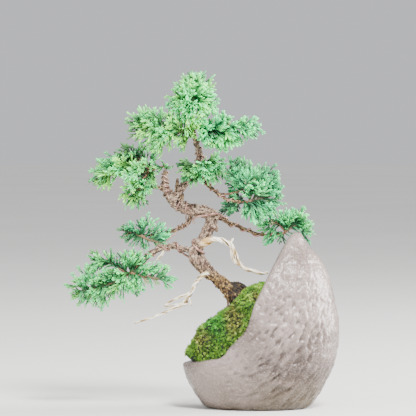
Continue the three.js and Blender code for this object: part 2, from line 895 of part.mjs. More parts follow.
// Trunk, roots, limbs and dead wood, grown as one piece
function makeWood() {
  const parts = Object.values(LIMBS).map((limb) => limbSolid(limb));
  KNOTS.forEach(([x, y, z, r]) => parts.push(ball(x, y, z, r, r * 0.8, r)));
  const joined = parts.reduce((a, b) => a.add(b));
  const cut = PITS.reduce((body, pit) => body.subtract(ball(...pit)), joined);
  return tidied(cut, 0.08);
}

// Room already taken by wood, wires and foliage, as straight stretches with a radius
const occupied = [];

function occupyPath(points, radius, piece, stem) {
  for (let i = 1; i < points.length; i++) {
    occupied.push({ a: points[i - 1], b: points[i], radius, piece, stem });
  }
}

function occupyLimbs() {
  for (const limb of Object.values(LIMBS)) {
    const count = limb.points.length * 2;
    const rows = Array.from({ length: count + 1 }, (_, i) => rowAt(limb.points, i / count));
    for (let i = 1; i < rows.length; i++) {
      const radius = 1.07 * Math.max(rows[i - 1][3], rows[i][3]);
      occupyPath([vector(rows[i - 1]), vector(rows[i])], radius, "tree_wood");
    }
  }
  KNOTS.forEach(([x, y, z, r]) => occupyPath([vector([x, y, z]), vector([x, y + 0.1, z])], r, "tree_wood"));
}

// Wires
// Moves a point out of everything it is too close to
function pushClear(point, radius) {
  const nearest = new THREE.Vector3();
  for (let round = 0; round < 8; round++) {
    for (const o of occupied) {
      new THREE.Line3(o.a, o.b).closestPointToPoint(point, true, nearest);
      const short = o.radius + radius + WIRE_GAP - nearest.distanceTo(point);
      if (short > 0) point.addScaledVector(nearest.sub(point).normalize(), -short);
    }
  }
  return point;
}

function helix(run, radius) {
  const rows = LIMBS[run.limb].points;
  const count = Math.round(Math.abs(run.turns) * 8);
  return Array.from({ length: count + 1 }, (_, i) => {
    const t = i / count;
    const frame = limbFrame(rows, lerp(run.from, run.to, t));
    const angle = THREE.MathUtils.degToRad(run.start) + t * run.turns * 2 * Math.PI;
    const reach = frame.radius * 1.08 + radius + WIRE_GAP;
    return frame.centre
      .addScaledVector(frame.toFront, reach * Math.cos(angle))
      .addScaledVector(frame.across, reach * Math.sin(angle));
  });
}

// The runs of a wire in one path, with points between runs, bent clear of the wood
function wirePath(wire) {
  const path = [];
  for (const run of wire.runs) {
    const points = run.points ? run.points.map(vector) : helix(run, wire.radius);
    const last = path[path.length - 1];
    if (last) {
      const between = Math.floor(last.distanceTo(points[0]) / 3);
      for (let i = 1; i <= between; i++) {
        path.push(new THREE.Vector3().lerpVectors(last, points[0], i / (between + 1)));
      }
    }
    path.push(...points);
  }
  return path.map((point) => pushClear(point, wire.radius));
}

function makeWire(wire, name) {
  const path = wirePath(wire);
  occupyPath(path, wire.radius, name);
  const curve = new THREE.CatmullRomCurve3(path, false, "catmullrom", 0.5);
  const section = new THREE.Shape();
  for (let i = 0; i < wire.sides; i++) {
    const angle = (i / wire.sides) * 2 * Math.PI;
    const [x, y] = [wire.radius * Math.cos(angle), wire.radius * Math.sin(angle)];
    if (i === 0) section.moveTo(x, y);
    else section.lineTo(x, y);
  }
  section.closePath();
  const steps = path.length;
  return solid(new THREE.ExtrudeGeometry(section, { steps, extrudePath: curve, bevelEnabled: false }));
}

// Foliage
// Shortest distance between two segments
function segmentDistance(a0, a1, b0, b1) {
  const u = new THREE.Vector3().subVectors(a1, a0);
  const v = new THREE.Vector3().subVectors(b1, b0);
  const w = new THREE.Vector3().subVectors(a0, b0);
  const [uu, uv, vv, uw, vw] = [u.dot(u), u.dot(v), v.dot(v), u.dot(w), v.dot(w)];
  const bottom = uu * vv - uv * uv;
  const clamp = (x) => Math.min(Math.max(x, 0), 1);
  let s = bottom < 1e-9 ? 0 : clamp((uv * vw - vv * uw) / bottom);
  const t = clamp((uv * s + vw) / vv);
  s = clamp((uv * t - uw) / uu);
  return w.addScaledVector(u, s).addScaledVector(v, -t).length();
}

// Whether a stretch keeps clear of other pieces, of other stems of its own piece, and of the pot
function isClear(a, b, radius, piece, stem) {
  const clashes = occupied.some((o) => {
    if (o.piece === piece && (stem === undefined || o.stem === stem)) return false;
    const room = o.piece === piece ? SPRIG_ROOM : o.radius + radius + GAP + 0.1;
    return segmentDistance(a, b, o.a, o.b) < room;
  });
  if (clashes) return false;
  return [0.2, 0.4, 0.6, 0.8, 1].every((t) => {
    const p = new THREE.Vector3().lerpVectors(a, b, t);
    return p.z > POT_HEIGHT + 2 || Math.abs(p.y) > halfDepth(p.x, p.z, -1.6) + 0.5;
  });
}

// The spines of a spray, the first one growing on from the end of its limb
function spinesOf(spray) {
  const { points } = LIMBS[spray.limb];
  const end = limbFrame(points, 1);
  const first = end.centre.clone().addScaledVector(end.along, GAP + 0.15);
  const second = end.centre.clone().addScaledVector(end.along, 2.2);
  const [main, ...others] = spray.spines;
  return [[first.toArray(), second.toArray(), ...main], ...others];
}

// The point on a list of spines that a shoot to this tip grows from
function shootRoot(spines, tip) {
  let best = { distance: Infinity };
  for (const spine of spines) {
    for (let i = 0; i <= 24; i++) {
      const distance = vector(rowAt(spine, i / 24)).distanceTo(tip);
      if (distance < best.distance) best = { distance, spine, u: i / 24 };
    }
  }
  const length = vector(best.spine[0]).distanceTo(vector(best.spine[best.spine.length - 1]));
  const back = (0.55 * best.distance) / length;
  return vector(rowAt(best.spine, Math.max(best.u - back, 0.08)));
}

// The shoots of a spray: each has a frame and pairs of sprigs that leave it left and right
function sprayLayout(spray, spines) {
  const random = randomSource(spray.seed);
  return spray.tips.map((point) => {
    const tip = vector(point);
    const root = shootRoot(spines, tip);
    const along = new THREE.Vector3().subVectors(tip, root);
    const length = along.length();
    along.normalize();
    const lean = new THREE.Vector3(random() - 0.5, -0.75 - 0.5 * random(), 0.9 * (random() - 0.3));
    lean.addScaledVector(along, -lean.dot(along)).normalize();
    const side = new THREE.Vector3().crossVectors(along, lean);
    const pairs = Math.min(Math.max(Math.round(length / PAIR_SPACING), 1), 2);
    const sprigs = [];
    for (let k = 0; k < pairs; k++) {
      for (const hand of [-1, 1]) {
        const u = (k + 1) / (pairs + 0.9);
        const opening = THREE.MathUtils.degToRad(34 + 18 * random());
        const share = THREE.MathUtils.clamp(0.42 * length * (1.25 - u), 4.6, 9.5);
        const reach = share * (0.8 + 0.4 * random());
        const out = along.clone().multiplyScalar(Math.cos(opening));
        out.addScaledVector(side, hand * Math.sin(opening)).addScaledVector(lean, 0.5 * random());
        sprigs.push({ u, hand, out: out.normalize(), reach });
      }
    }
    return { root, tip, along, lean, side, length, bow: 0.08 * length, sprigs };
  });
}

// The point of a shoot's centreline at u
function shootPoint(shoot, u) {
  const p = new THREE.Vector3().lerpVectors(shoot.root, shoot.tip, u);
  p.z += shoot.bow * 4 * u * (1 - u);
  return p;
}

// A three-sided stem with a pair of four-sided sprigs drawn out of each short stretch
function shootSolid(shoot) {
  const half = (0.5 * SPRIG_FOOT) / shoot.length;
  const nodes = [...new Set(shoot.sprigs.map((sprig) => sprig.u))];
  const rings = [0, ...nodes.flatMap((u) => [u - half, u + half]), 1];
  const points = [];
  const faces = [];
  rings.forEach((u, i) => {
    const isEnd = i === 0 || i === rings.length - 1;
    const reach = isEnd ? 0.6 * SPRIG_RADIUS : lerp(SHOOT_RADIUS, SPRIG_RADIUS, u);
    for (const corner of [180, 60, -60]) {
      const angle = THREE.MathUtils.degToRad(corner - 90);
      const p = shootPoint(shoot, u);
      p.addScaledVector(shoot.side, reach * Math.cos(angle));
      p.addScaledVector(shoot.lean, reach * Math.sin(angle));
      points.push(p);
    }
  });
  const quad = (a, b, c, d) => faces.push([a, b, c], [a, c, d]);
  for (let i = 0; i + 1 < rings.length; i++) {
    for (let j = 0; j < 3; j++) {
      const foot = [3 * i + j, 3 * i + ((j + 1) % 3), 3 * i + 3 + ((j + 1) % 3), 3 * i + 3 + j];
      const middle = (rings[i] + rings[i + 1]) / 2;
      const sprig = shoot.sprigs.find((s) => Math.abs(s.u - middle) < 1e-6 && s.face === j);
      if (!sprig) {
        quad(...foot);
        continue;
      }
      const centre = foot.reduce((sum, k) => sum.add(points[k]), new THREE.Vector3()).multiplyScalar(0.25);
      const ends = foot.map((k) => {
        const corner = points[k].clone().sub(centre);
        corner.addScaledVector(sprig.out, -corner.dot(sprig.out)).setLength(0.85 * SPRIG_RADIUS);
        points.push(corner.add(centre).addScaledVector(sprig.out, sprig.reach));
        return points.length - 1;
      });
      foot.forEach((k, n) => quad(k, foot[(n + 1) % 4], ends[(n + 1) % 4], ends[n]));
      quad(...ends);
    }
  }
  faces.push([0, 2, 1]);
  const end = 3 * (rings.length - 1);
  faces.push([end, end + 1, end + 2]);
  const geometry = new THREE.BufferGeometry().setFromPoints(points);
  geometry.setIndex(faces.flat());
  return solid(geometry);
}

function makeSpray(name, spray) {
  const bodies = [];
  const spines = spinesOf(spray);
  spines.forEach((spine) => {
    const rows = spine.map((p, i) => [...p, lerp(CORE_RADIUS, SHOOT_RADIUS, i / (spine.length - 1))]);
    bodies.push(limbSolid({ sides: 5, steps: spine.length, points: rows }));
    occupyPath(rows.map(vector), CORE_RADIUS, name, "spine");
  });
  const shoots = sprayLayout(spray, spines).filter((shoot) => {
    const middle = shootPoint(shoot, 0.5);
    const base = shootPoint(shoot, 0.15);
    return isClear(base, middle, SHOOT_RADIUS, name) && isClear(middle, shoot.tip, SHOOT_RADIUS, name);
  });
  shoots.forEach((shoot, i) => {
    occupyPath([shoot.root, shootPoint(shoot, 0.5), shoot.tip], SHOOT_RADIUS + 0.1, name, i);
  });
  shoots.forEach((shoot, i) => {
    for (const sprig of shoot.sprigs) {
      const start = shootPoint(shoot, sprig.u);
      const end = start.clone().addScaledVector(sprig.out, sprig.reach + 0.4);
      if (!isClear(start, end, SPRIG_RADIUS, name, i)) continue;
      sprig.face = sprig.hand < 0 ? 2 : 0;
      occupyPath([start, end], SPRIG_RADIUS, name, i);
    }
    bodies.push(shootSolid(shoot));
  });
  return tidied(wasm.Manifold.union(bodies), 0.04);
}

// Assembly
const COLOURS = {
  stoneware: [0xa89a92, 0.6, 0],
  plastic: [0x22382a, 0.6, 0],
  soil: [0x6b4a33, 0.95, 0],
  moss: [0x4f9a3a, 0.95, 0],
  bark: [0xa98a72, 0.8, 0],
  wire: [0xaf826e, 0.45, 1],
  foliage: [0x7fbf86, 0.6, 0],
};

const tree = new THREE.Group();

function addPiece(name, shape, finish) {
  const [color, roughness, metalness] = COLOURS[finish];
  const material = new THREE.MeshStandardMaterial({ color, roughness, metalness });
  const mesh = new THREE.Mesh(geometryOf(shape), material);
  mesh.name = name;
  tree.add(mesh);
}

const holes = rootHoles();
addPiece("pot", makePot(), "stoneware");
addPiece("drainage_mesh", makeDrainageMesh(), "plastic");
addPiece("soil", makeSoil(holes), "soil");
addPiece("moss", makeMoss(holes), "moss");
addPiece("tree_wood", makeWood(), "bark");
occupyLimbs();
Object.entries(WIRES).forEach(([name, wire]) => addPiece(name, makeWire(wire, name), "wire"));
Object.entries(SPRAYS).forEach(([name, spray]) => addPiece(name, makeSpray(name, spray), "foliage"));

export default tree;
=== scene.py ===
# Looks of a small kishu juniper bonsai in a crescent pot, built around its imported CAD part.
# Sizes in the tables are millimetres, in the CAD frame: +Z up, +X towards the pot's horn, front along -Y.
import json
import math
import random

import bmesh
import bpy
import numpy as np
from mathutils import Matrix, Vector, noise

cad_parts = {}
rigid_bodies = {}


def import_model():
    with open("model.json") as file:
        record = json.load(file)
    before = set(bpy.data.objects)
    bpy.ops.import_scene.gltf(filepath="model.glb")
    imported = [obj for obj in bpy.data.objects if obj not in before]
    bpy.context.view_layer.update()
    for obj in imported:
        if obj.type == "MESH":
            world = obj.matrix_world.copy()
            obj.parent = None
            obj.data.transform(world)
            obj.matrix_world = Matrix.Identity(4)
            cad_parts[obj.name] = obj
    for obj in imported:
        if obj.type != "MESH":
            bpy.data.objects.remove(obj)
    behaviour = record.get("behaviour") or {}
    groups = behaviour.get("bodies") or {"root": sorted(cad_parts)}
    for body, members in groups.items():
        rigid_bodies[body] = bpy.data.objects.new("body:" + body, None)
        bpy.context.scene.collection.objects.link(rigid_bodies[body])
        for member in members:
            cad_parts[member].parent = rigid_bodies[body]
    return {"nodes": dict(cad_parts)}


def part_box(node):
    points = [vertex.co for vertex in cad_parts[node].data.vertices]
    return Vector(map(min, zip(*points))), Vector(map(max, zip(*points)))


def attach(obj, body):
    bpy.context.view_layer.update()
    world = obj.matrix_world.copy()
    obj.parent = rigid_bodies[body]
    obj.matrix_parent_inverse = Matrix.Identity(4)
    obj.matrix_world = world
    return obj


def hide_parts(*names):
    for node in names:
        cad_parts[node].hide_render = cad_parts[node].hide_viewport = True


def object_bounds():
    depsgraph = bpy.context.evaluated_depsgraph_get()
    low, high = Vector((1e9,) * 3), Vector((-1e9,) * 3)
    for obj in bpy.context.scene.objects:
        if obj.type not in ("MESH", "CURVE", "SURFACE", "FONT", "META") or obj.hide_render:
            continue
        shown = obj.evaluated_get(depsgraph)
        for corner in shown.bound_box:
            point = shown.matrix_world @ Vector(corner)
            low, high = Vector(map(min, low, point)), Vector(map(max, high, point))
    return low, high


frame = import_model()
cad_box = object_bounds()

MM = 0.001
UP = Vector((0, 0, 1))
FRONT = Vector((0, -1, 0))

# Camera and studio
FRAME_WIDTH = 258.0  # millimetres that the picture's width spans at the tree
VIEW_CENTRE = (-31.0, 0.0, 124.0)
VIEW_DISTANCE = 2000.0
VIEW_ELEVATION = 2.0  # degrees
VIEW_AZIMUTH = 2.5  # degrees round to the right
FLOOR_RADIUS = 7.0  # metres
SOFTBOXES = [  # name, place and width in metres, power in watts
    ("key_softbox", (0.4, -0.85, 1.15), 0.4, 54), ("fill_softbox", (-1.0, -0.8, 0.3), 0.8, 11),
    ("side_softbox", (1.2, 0.3, 0.42), 0.7, 60),
]
CEILING_LIGHT = (0.75, 70)  # strength, and how many degrees of the sky it fills
SKY_LIGHT = 0.8

# Pot
POT_HEIGHT = 109.1
POT_WALL = 5.5
POT_FLOOR = 6.0
CAVITY_HEIGHT = 96.0
DRAIN_X = -14.0
DRAIN_RADIUS = 4.5
POT_VOXEL = 0.85
RIM_ROUNDING = 6  # smoothing passes over the cut rim
DENT_ROOM = 0.5  # how far the smooth shell lies inside the beaten one

CRESCENT_CENTRE = (-45, 95)  # x, z of the middle that the crescent bends round
CRESCENT_RADIUS = 60
POT_PAINTED_LIGHT = [  # x, z and reach of clouds of painted light and shade on the clay, and how much darker they are; below zero they are lighter
    (33, 14, 17, 1.9), (-25, 20, 16, -1.3), (22, 68, 22, -1.5), (12, 12, 14, 0.5), (4, 58, 12, -0.5),
]
BEATEN = (14, 36, 36, 50)  # where the clay is beaten most: x, z and how far it reaches each way

# Section of the whole boulder before the crescent cut: height, left x, right x, half depth
POT_RIBS = [
    (0, -31.7, 30.7, 23), (2.6, -34.8, 34.2, 25.4), (9, -39.2, 38.6, 29), (17, -44.2, 42.6, 32.4),
    (26, -46.9, 47.2, 34.8), (36, -47.6, 50, 36), (47, -47, 51, 36), (60, -43, 49.7, 34.5),
    (74, -33.5, 46.6, 31), (86, -20, 42.9, 26), (95, -6, 37.2, 20), (102, 6, 31, 14),
    (106.5, 14, 28.4, 9.5), (109.1, 20, 26.8, 5.5),
]

# The rim, seen along Y: x, z from the low lip to the tip of the horn
RIM = [
    (-60, 28.6), (-46.5, 28), (-42.7, 28), (-38.4, 29.1), (-33.2, 30.5), (-28.2, 31.7), (-23.6, 32.4),
    (-19.7, 34.8), (-16.6, 39.1), (-11.2, 44.5), (-6.8, 49.9), (-3.6, 57.7), (-1.2, 65.4), (2.8, 73.9),
    (6.2, 81.4), (11, 90.8), (15.6, 99.7), (18.8, 105), (22.4, 110), (23, 116),
]
CUT_CORNERS = [(23, 150), (-80, 150), (-80, 28.6)]  # x, z of what is cut away, beyond the rim
CUT_DEPTH = 60  # how far the cut reaches to the front and to the back

# Woody limbs, each a list of x, y, z, radius
LIVE_LIMBS = {
    "trunk_lower": [
        (-9.5, 0, 54, 3.4), (-11.5, 0, 62, 4.9), (-15.6, 0, 70.7, 4.5), (-22, -0.5, 77.2, 3.8),
        (-26.4, -0.8, 80.6, 3.4), (-33, -1, 86.2, 4.2), (-38.2, -1, 93.6, 4.8), (-37.8, -0.6, 99.5, 3.8),
        (-34.7, 0, 104.2, 3.3), (-31.3, 0.4, 109.7, 3.3), (-29.1, 0.4, 114.7, 3.8), (-29.3, 0, 119.6, 3.8),
    ],
    "trunk_upper": [
        (-26.2, 0, 119.4, 3), (-32.2, 0, 121.4, 3.6), (-38.4, -0.5, 122.5, 3.7), (-44.6, -1, 123.7, 3.6),
        (-49.8, -1.4, 126.5, 3.7), (-54, -1.8, 130.8, 3.1), (-57.3, -2, 136, 2.2),
        (-57.7, -1.6, 141.4, 1.75), (-57.4, -1, 147.3, 1.4),
    ],
    "left_side_branch": [
        (-56.4, -2, 135.2, 1.3), (-60.5, -2.6, 136.6, 1.1), (-65.5, -3.4, 136.8, 0.9),
        (-69.6, -4, 136.5, 0.8),
    ],
    "apex_limb": [
        (-52, -1.4, 128.4, 2.8), (-48.6, -1.2, 134.4, 2.6), (-44.6, -0.8, 139.6, 2.2),
        (-40.3, -0.4, 143.2, 2.3), (-37.4, 0, 148.4, 2.5), (-36, 0.3, 155, 2.3), (-37.5, 0.3, 161.8, 1.7),
        (-39.7, 0, 169.3, 1.4), (-40.6, 0, 179.8, 1.1), (-40.8, 0, 188, 0.95),
    ],
    "lower_branch": [
        (-38.5, -1, 97.4, 2), (-43.4, -1.6, 98.1, 1.8), (-47.7, -2, 98.9, 1.7), (-52.6, -2.4, 100.3, 1.6),
        (-58.7, -3, 99.3, 1.6), (-65, -3.4, 96.8, 1.6), (-68.6, -3.4, 93.2, 1.4), (-73.2, -3, 89.3, 1.15),
        (-78, -3, 85, 1),
    ],
    "second_branch": [
        (-41.5, 0.5, 121.4, 1.7), (-42.6, 2.5, 116.2, 1.5), (-45.3, 3.6, 113.2, 1.3),
        (-48.4, 4.4, 111.6, 1.2), (-55.5, 5.4, 108.6, 1.05), (-63.4, 6.2, 107.2, 0.95),
        (-71.6, 7, 106.6, 0.85),
    ],
    "right_branch": [
        (-28.5, 0.5, 119.6, 2), (-23, 3, 117.3, 1.5), (-17, 5.6, 114.2, 1.2), (-11, 8, 111.8, 1.1),
        (-4.2, 10.6, 108.6, 0.95), (2.8, 12.8, 106.7, 0.9), (8.6, 14, 107, 0.85), (14.2, 14.9, 107.8, 0.75),
    ],
    "upper_right_branch": [
        (-37.3, -0.2, 147.2, 1.9), (-34.2, -2, 141.4, 1.3), (-29.8, -3.6, 137.4, 1.1), (-25, -5, 133.4, 1),
        (-20.4, -6, 130.2, 0.9), (-14.3, -6.7, 128.6, 0.85), (-8.3, -7, 128.1, 0.8),
    ],
    "upper_right_twig": [
        (-24.4, -5, 133, 0.9), (-18.6, -5.6, 132.9, 0.75), (-14.3, -5, 133.6, 0.65),
        (-9.8, -4.4, 135.2, 0.6), (-5.6, -3.2, 138.4, 0.5),
    ],
    "high_left_branch": [(-38.3, 0.2, 165, 1.1), (-39.8, -0.8, 168, 1), (-41.8, -1.9, 169.9, 0.9)],
    "high_right_branch": [(-37.8, 0.2, 163.6, 1.1), (-36.6, 0.6, 166, 1), (-35.2, 1, 167.8, 0.9)],
    "front_branch": [(-37, -0.6, 147.6, 1.4), (-36.8, -3.2, 148.8, 1.2), (-36.1, -5.4, 149.8, 1)],
    "rear_branch": [
        (-37.2, 0.6, 149, 1.7), (-33.4, 5.6, 149, 1.4), (-28, 10.6, 147, 1.1), (-22.4, 14.4, 145.4, 0.9),
    ],
    "root_mass": [(-17.4, 0.4, 75.4, 2.4), (-13.6, 1, 73.6, 2.9), (-11.4, 1.2, 69.4, 2.5), (-10, 1, 63, 1.6)],
    "root_right": [
        (-17.5, 2, 75.6, 2.4), (-11.4, 3.4, 75.4, 2.3), (-6.6, 4.4, 72, 1.8), (-4.4, 5, 65, 1.3),
        (-3.4, 5.4, 56, 0.9),
    ],
    "root_thin": [
        (-20.4, -2, 76.6, 1), (-18.9, -3.9, 72, 0.75), (-18.5, -4.4, 66, 0.7), (-18, -4.6, 57, 0.6),
    ],
    "root_front": [(-11, -1, 60, 2.6), (-7.4, -6, 52, 1.8), (-3, -11, 42, 1)],
    "root_back": [(-11, 1, 60, 2.6), (-4, 8, 52, 1.8), (5, 13, 43, 1)],
    "spur_below_bend": [(-28.4, -1.4, 114.6, 2.2), (-26.4, -2, 112, 1.8), (-25.4, -2.2, 109.4, 0.8)],
    "cut_stub": [(-49.8, -2.2, 134.6, 1.5), (-50, -2.8, 138.2, 1.2), (-49.7, -3.2, 142.4, 0.8)],
    "bark_fin": [(-48, -2.8, 127.6, 1.7), (-46.8, -3.4, 130.6, 1.1), (-46, -3.8, 133.4, 0.5)],
}
DEAD_LIMBS = {
    "jin_right": [
        (-36, -1.6, 101.4, 2.4), (-31, -2.8, 103.6, 2.1), (-27.9, -3.2, 104.4, 1.6),
        (-24, -3.2, 104.5, 1.35), (-20.3, -3, 103.3, 1.4), (-16.9, -2.8, 101.2, 1.35),
        (-14.9, -2.6, 97.2, 1.2), (-13, -2.6, 92.8, 1.1), (-10.6, -2.6, 88.8, 1.05), (-7.4, -2.4, 86.2, 1),
        (-3, -2, 85.2, 0.9), (1.5, -1.4, 83.6, 0.75), (6.5, -0.6, 83.8, 0.5),
    ],
    "jin_right_fork": [(-17.6, -2.8, 101.6, 0.6), (-16.3, -3, 103.6, 0.5), (-15.2, -3.2, 105.6, 0.35)],
    "jin_right_strand": [
        (-16, -2.7, 99.8, 0.6), (-16.4, -3.3, 95.6, 0.5), (-14.2, -3.1, 90.6, 0.5),
        (-11.2, -2.7, 88.6, 0.4),
    ],
    "jin_left": [
        (-29.4, -2.4, 83.2, 1.3), (-31.8, -4.4, 83.8, 1.35), (-34.4, -5, 82, 1.2), (-37, -5, 79.6, 1.15),
        (-39.1, -5, 76.6, 1.1), (-40.4, -5, 73, 1.1), (-42.2, -5, 70.2, 1.05), (-44.2, -5, 67.6, 1.05),
        (-45.2, -5, 65.4, 0.9),
    ],
    "jin_left_twig_high": [
        (-41.4, -5, 71.4, 0.75), (-45.6, -5.6, 70, 0.6), (-52.8, -6.6, 66.9, 0.5),
        (-57.2, -7.2, 64.2, 0.45),
    ],
    "jin_left_twig_middle": [
        (-44.8, -5, 65.2, 0.8), (-49.5, -4.4, 64.1, 0.7), (-53.4, -3.8, 63.2, 0.6), (-58, -3.2, 63.3, 0.45),
    ],
    "jin_left_twig_low": [
        (-44.6, -5.2, 65, 0.8), (-50.8, -6, 62.6, 0.7), (-58.7, -6.6, 58.9, 0.65), (-64.7, -7, 56.5, 0.6),
        (-70.6, -7.2, 54.6, 0.5), (-76.3, -7.2, 52.8, 0.4),
    ],
    "jin_left_stub": [(-42.6, -5, 69, 0.7), (-41.8, -5.3, 66.4, 0.55), (-41, -5.6, 63.8, 0.35)],
    "pale_side_twig": [(-57.6, -3.6, 98.8, 0.6), (-59.4, -5, 95.4, 0.5), (-62.6, -6, 91.8, 0.4)],
}
LIMBS = {**LIVE_LIMBS, **DEAD_LIMBS}

# Swellings on the bark: x, y, z, radius
KNOTS = [
    (-31, -3.6, 88.6, 1.9), (-21.4, -3, 80.4, 1.5), (-41.6, -3.6, 97.4, 1.6), (-27.2, -1.6, 118.6, 2.7),
    (-44.6, -5, 65.6, 1.7), (-52.4, -3.2, 131.8, 2.2),
]

# Hollows in the bark, dented in and painted dark as shade: x, y, z, half width, half height
HOLLOWS = [(-49.2, -4.6, 127.2, 1.3, 2.0), (-36.3, -5.2, 97, 0.8, 2.8)]
HOLLOW_DEPTH = 1.3
HOLLOW_REACH = 2.4  # from its middle to the front and the back

WOOD_VOXEL = 0.33
SAMPLE_SPACING = 0.6  # between the places along a limb that its bark is worked out from
SAMPLE_BLOCK = 4000  # points worked out at a time
CHIP_COUNT = 230  # loose flakes on the thick limbs
CHIP = (0.45, 0.28, 1.1)  # half sizes of a loose flake of bark: across, thick and along
CHIPPED_LIMBS = ["trunk_lower"] * 5 + ["trunk_upper"] * 3 + [
    "root_mass", "root_right", "apex_limb", "lower_branch",
]
BIG_CHIPS_BELOW = 86
BARK_RELIEF = 0.3  # height of the bark's flakes
BARK_FLAKE = (1.1, 2.2)  # a flake's width across the limb and its length along it
FISSURE = (1.6, 7.0)
DEAD_RELIEF = 0.5
DEAD_SWELL = 0.2  # bleached limbs keep their full thickness where the skin is smoothed
GOLDEN_BELOW = (92, 12)  # height under which old bark turns golden, and how far it takes to turn
ROOT_EDGE = (-18.5, 80.5, 3)  # x and z past which roots turn dark, partly earth and partly painted shade, and how far they take to turn
FRESH_EDGE = (-27.5, 95)  # x and z past which dead wood is still yellow

# Wires: each follows runs of points and turns round limbs; start is in degrees from the front
WIRE_GAP = -0.05  # coils press a little into the bark
WIRES = {
    "wire_lower_branch": (0.7, [
        ("trunk_lower", 0.72, 0.52, -1.05, 180), ("lower_branch", 0.24, 0.86, -3.2, 110),
    ]),
    "wire_right_branch": (0.62, [
        [(-39.6, -2.6, 114.4), (-39.9, -3.6, 117.2), (-37.6, -5.2, 118.7)],
        [(-32.4, -5.6, 119.6), (-28.2, -5.6, 120.4), (-24.6, -3.4, 120.6)],
        ("right_branch", 0.2, 0.86, 4, 70),
    ]),
    "wire_second_branch": (0.45, [
        ("trunk_upper", 0.5, 0.38, 1.1, 330), ("second_branch", 0.32, 0.56, 1.9, 60),
        [(-51.6, 2.4, 108), (-53.4, 1.4, 106.4), (-57.1, 0.6, 103.4)],
    ]),
    "wire_left_limb_inner": (0.45, [("trunk_upper", 0.66, 0.95, 2.2, 20)]),
    "wire_left_limb_outer": (0.45, [("trunk_upper", 0.66, 0.97, 2.2, 200)]),
    "wire_apex_limb": (0.5, [("apex_limb", 0.485, 0.655, 2, 300)]),
    "wire_upper_right_branch": (0.45, [("upper_right_branch", 0.3, 0.9, 3.6, 90)]),
}

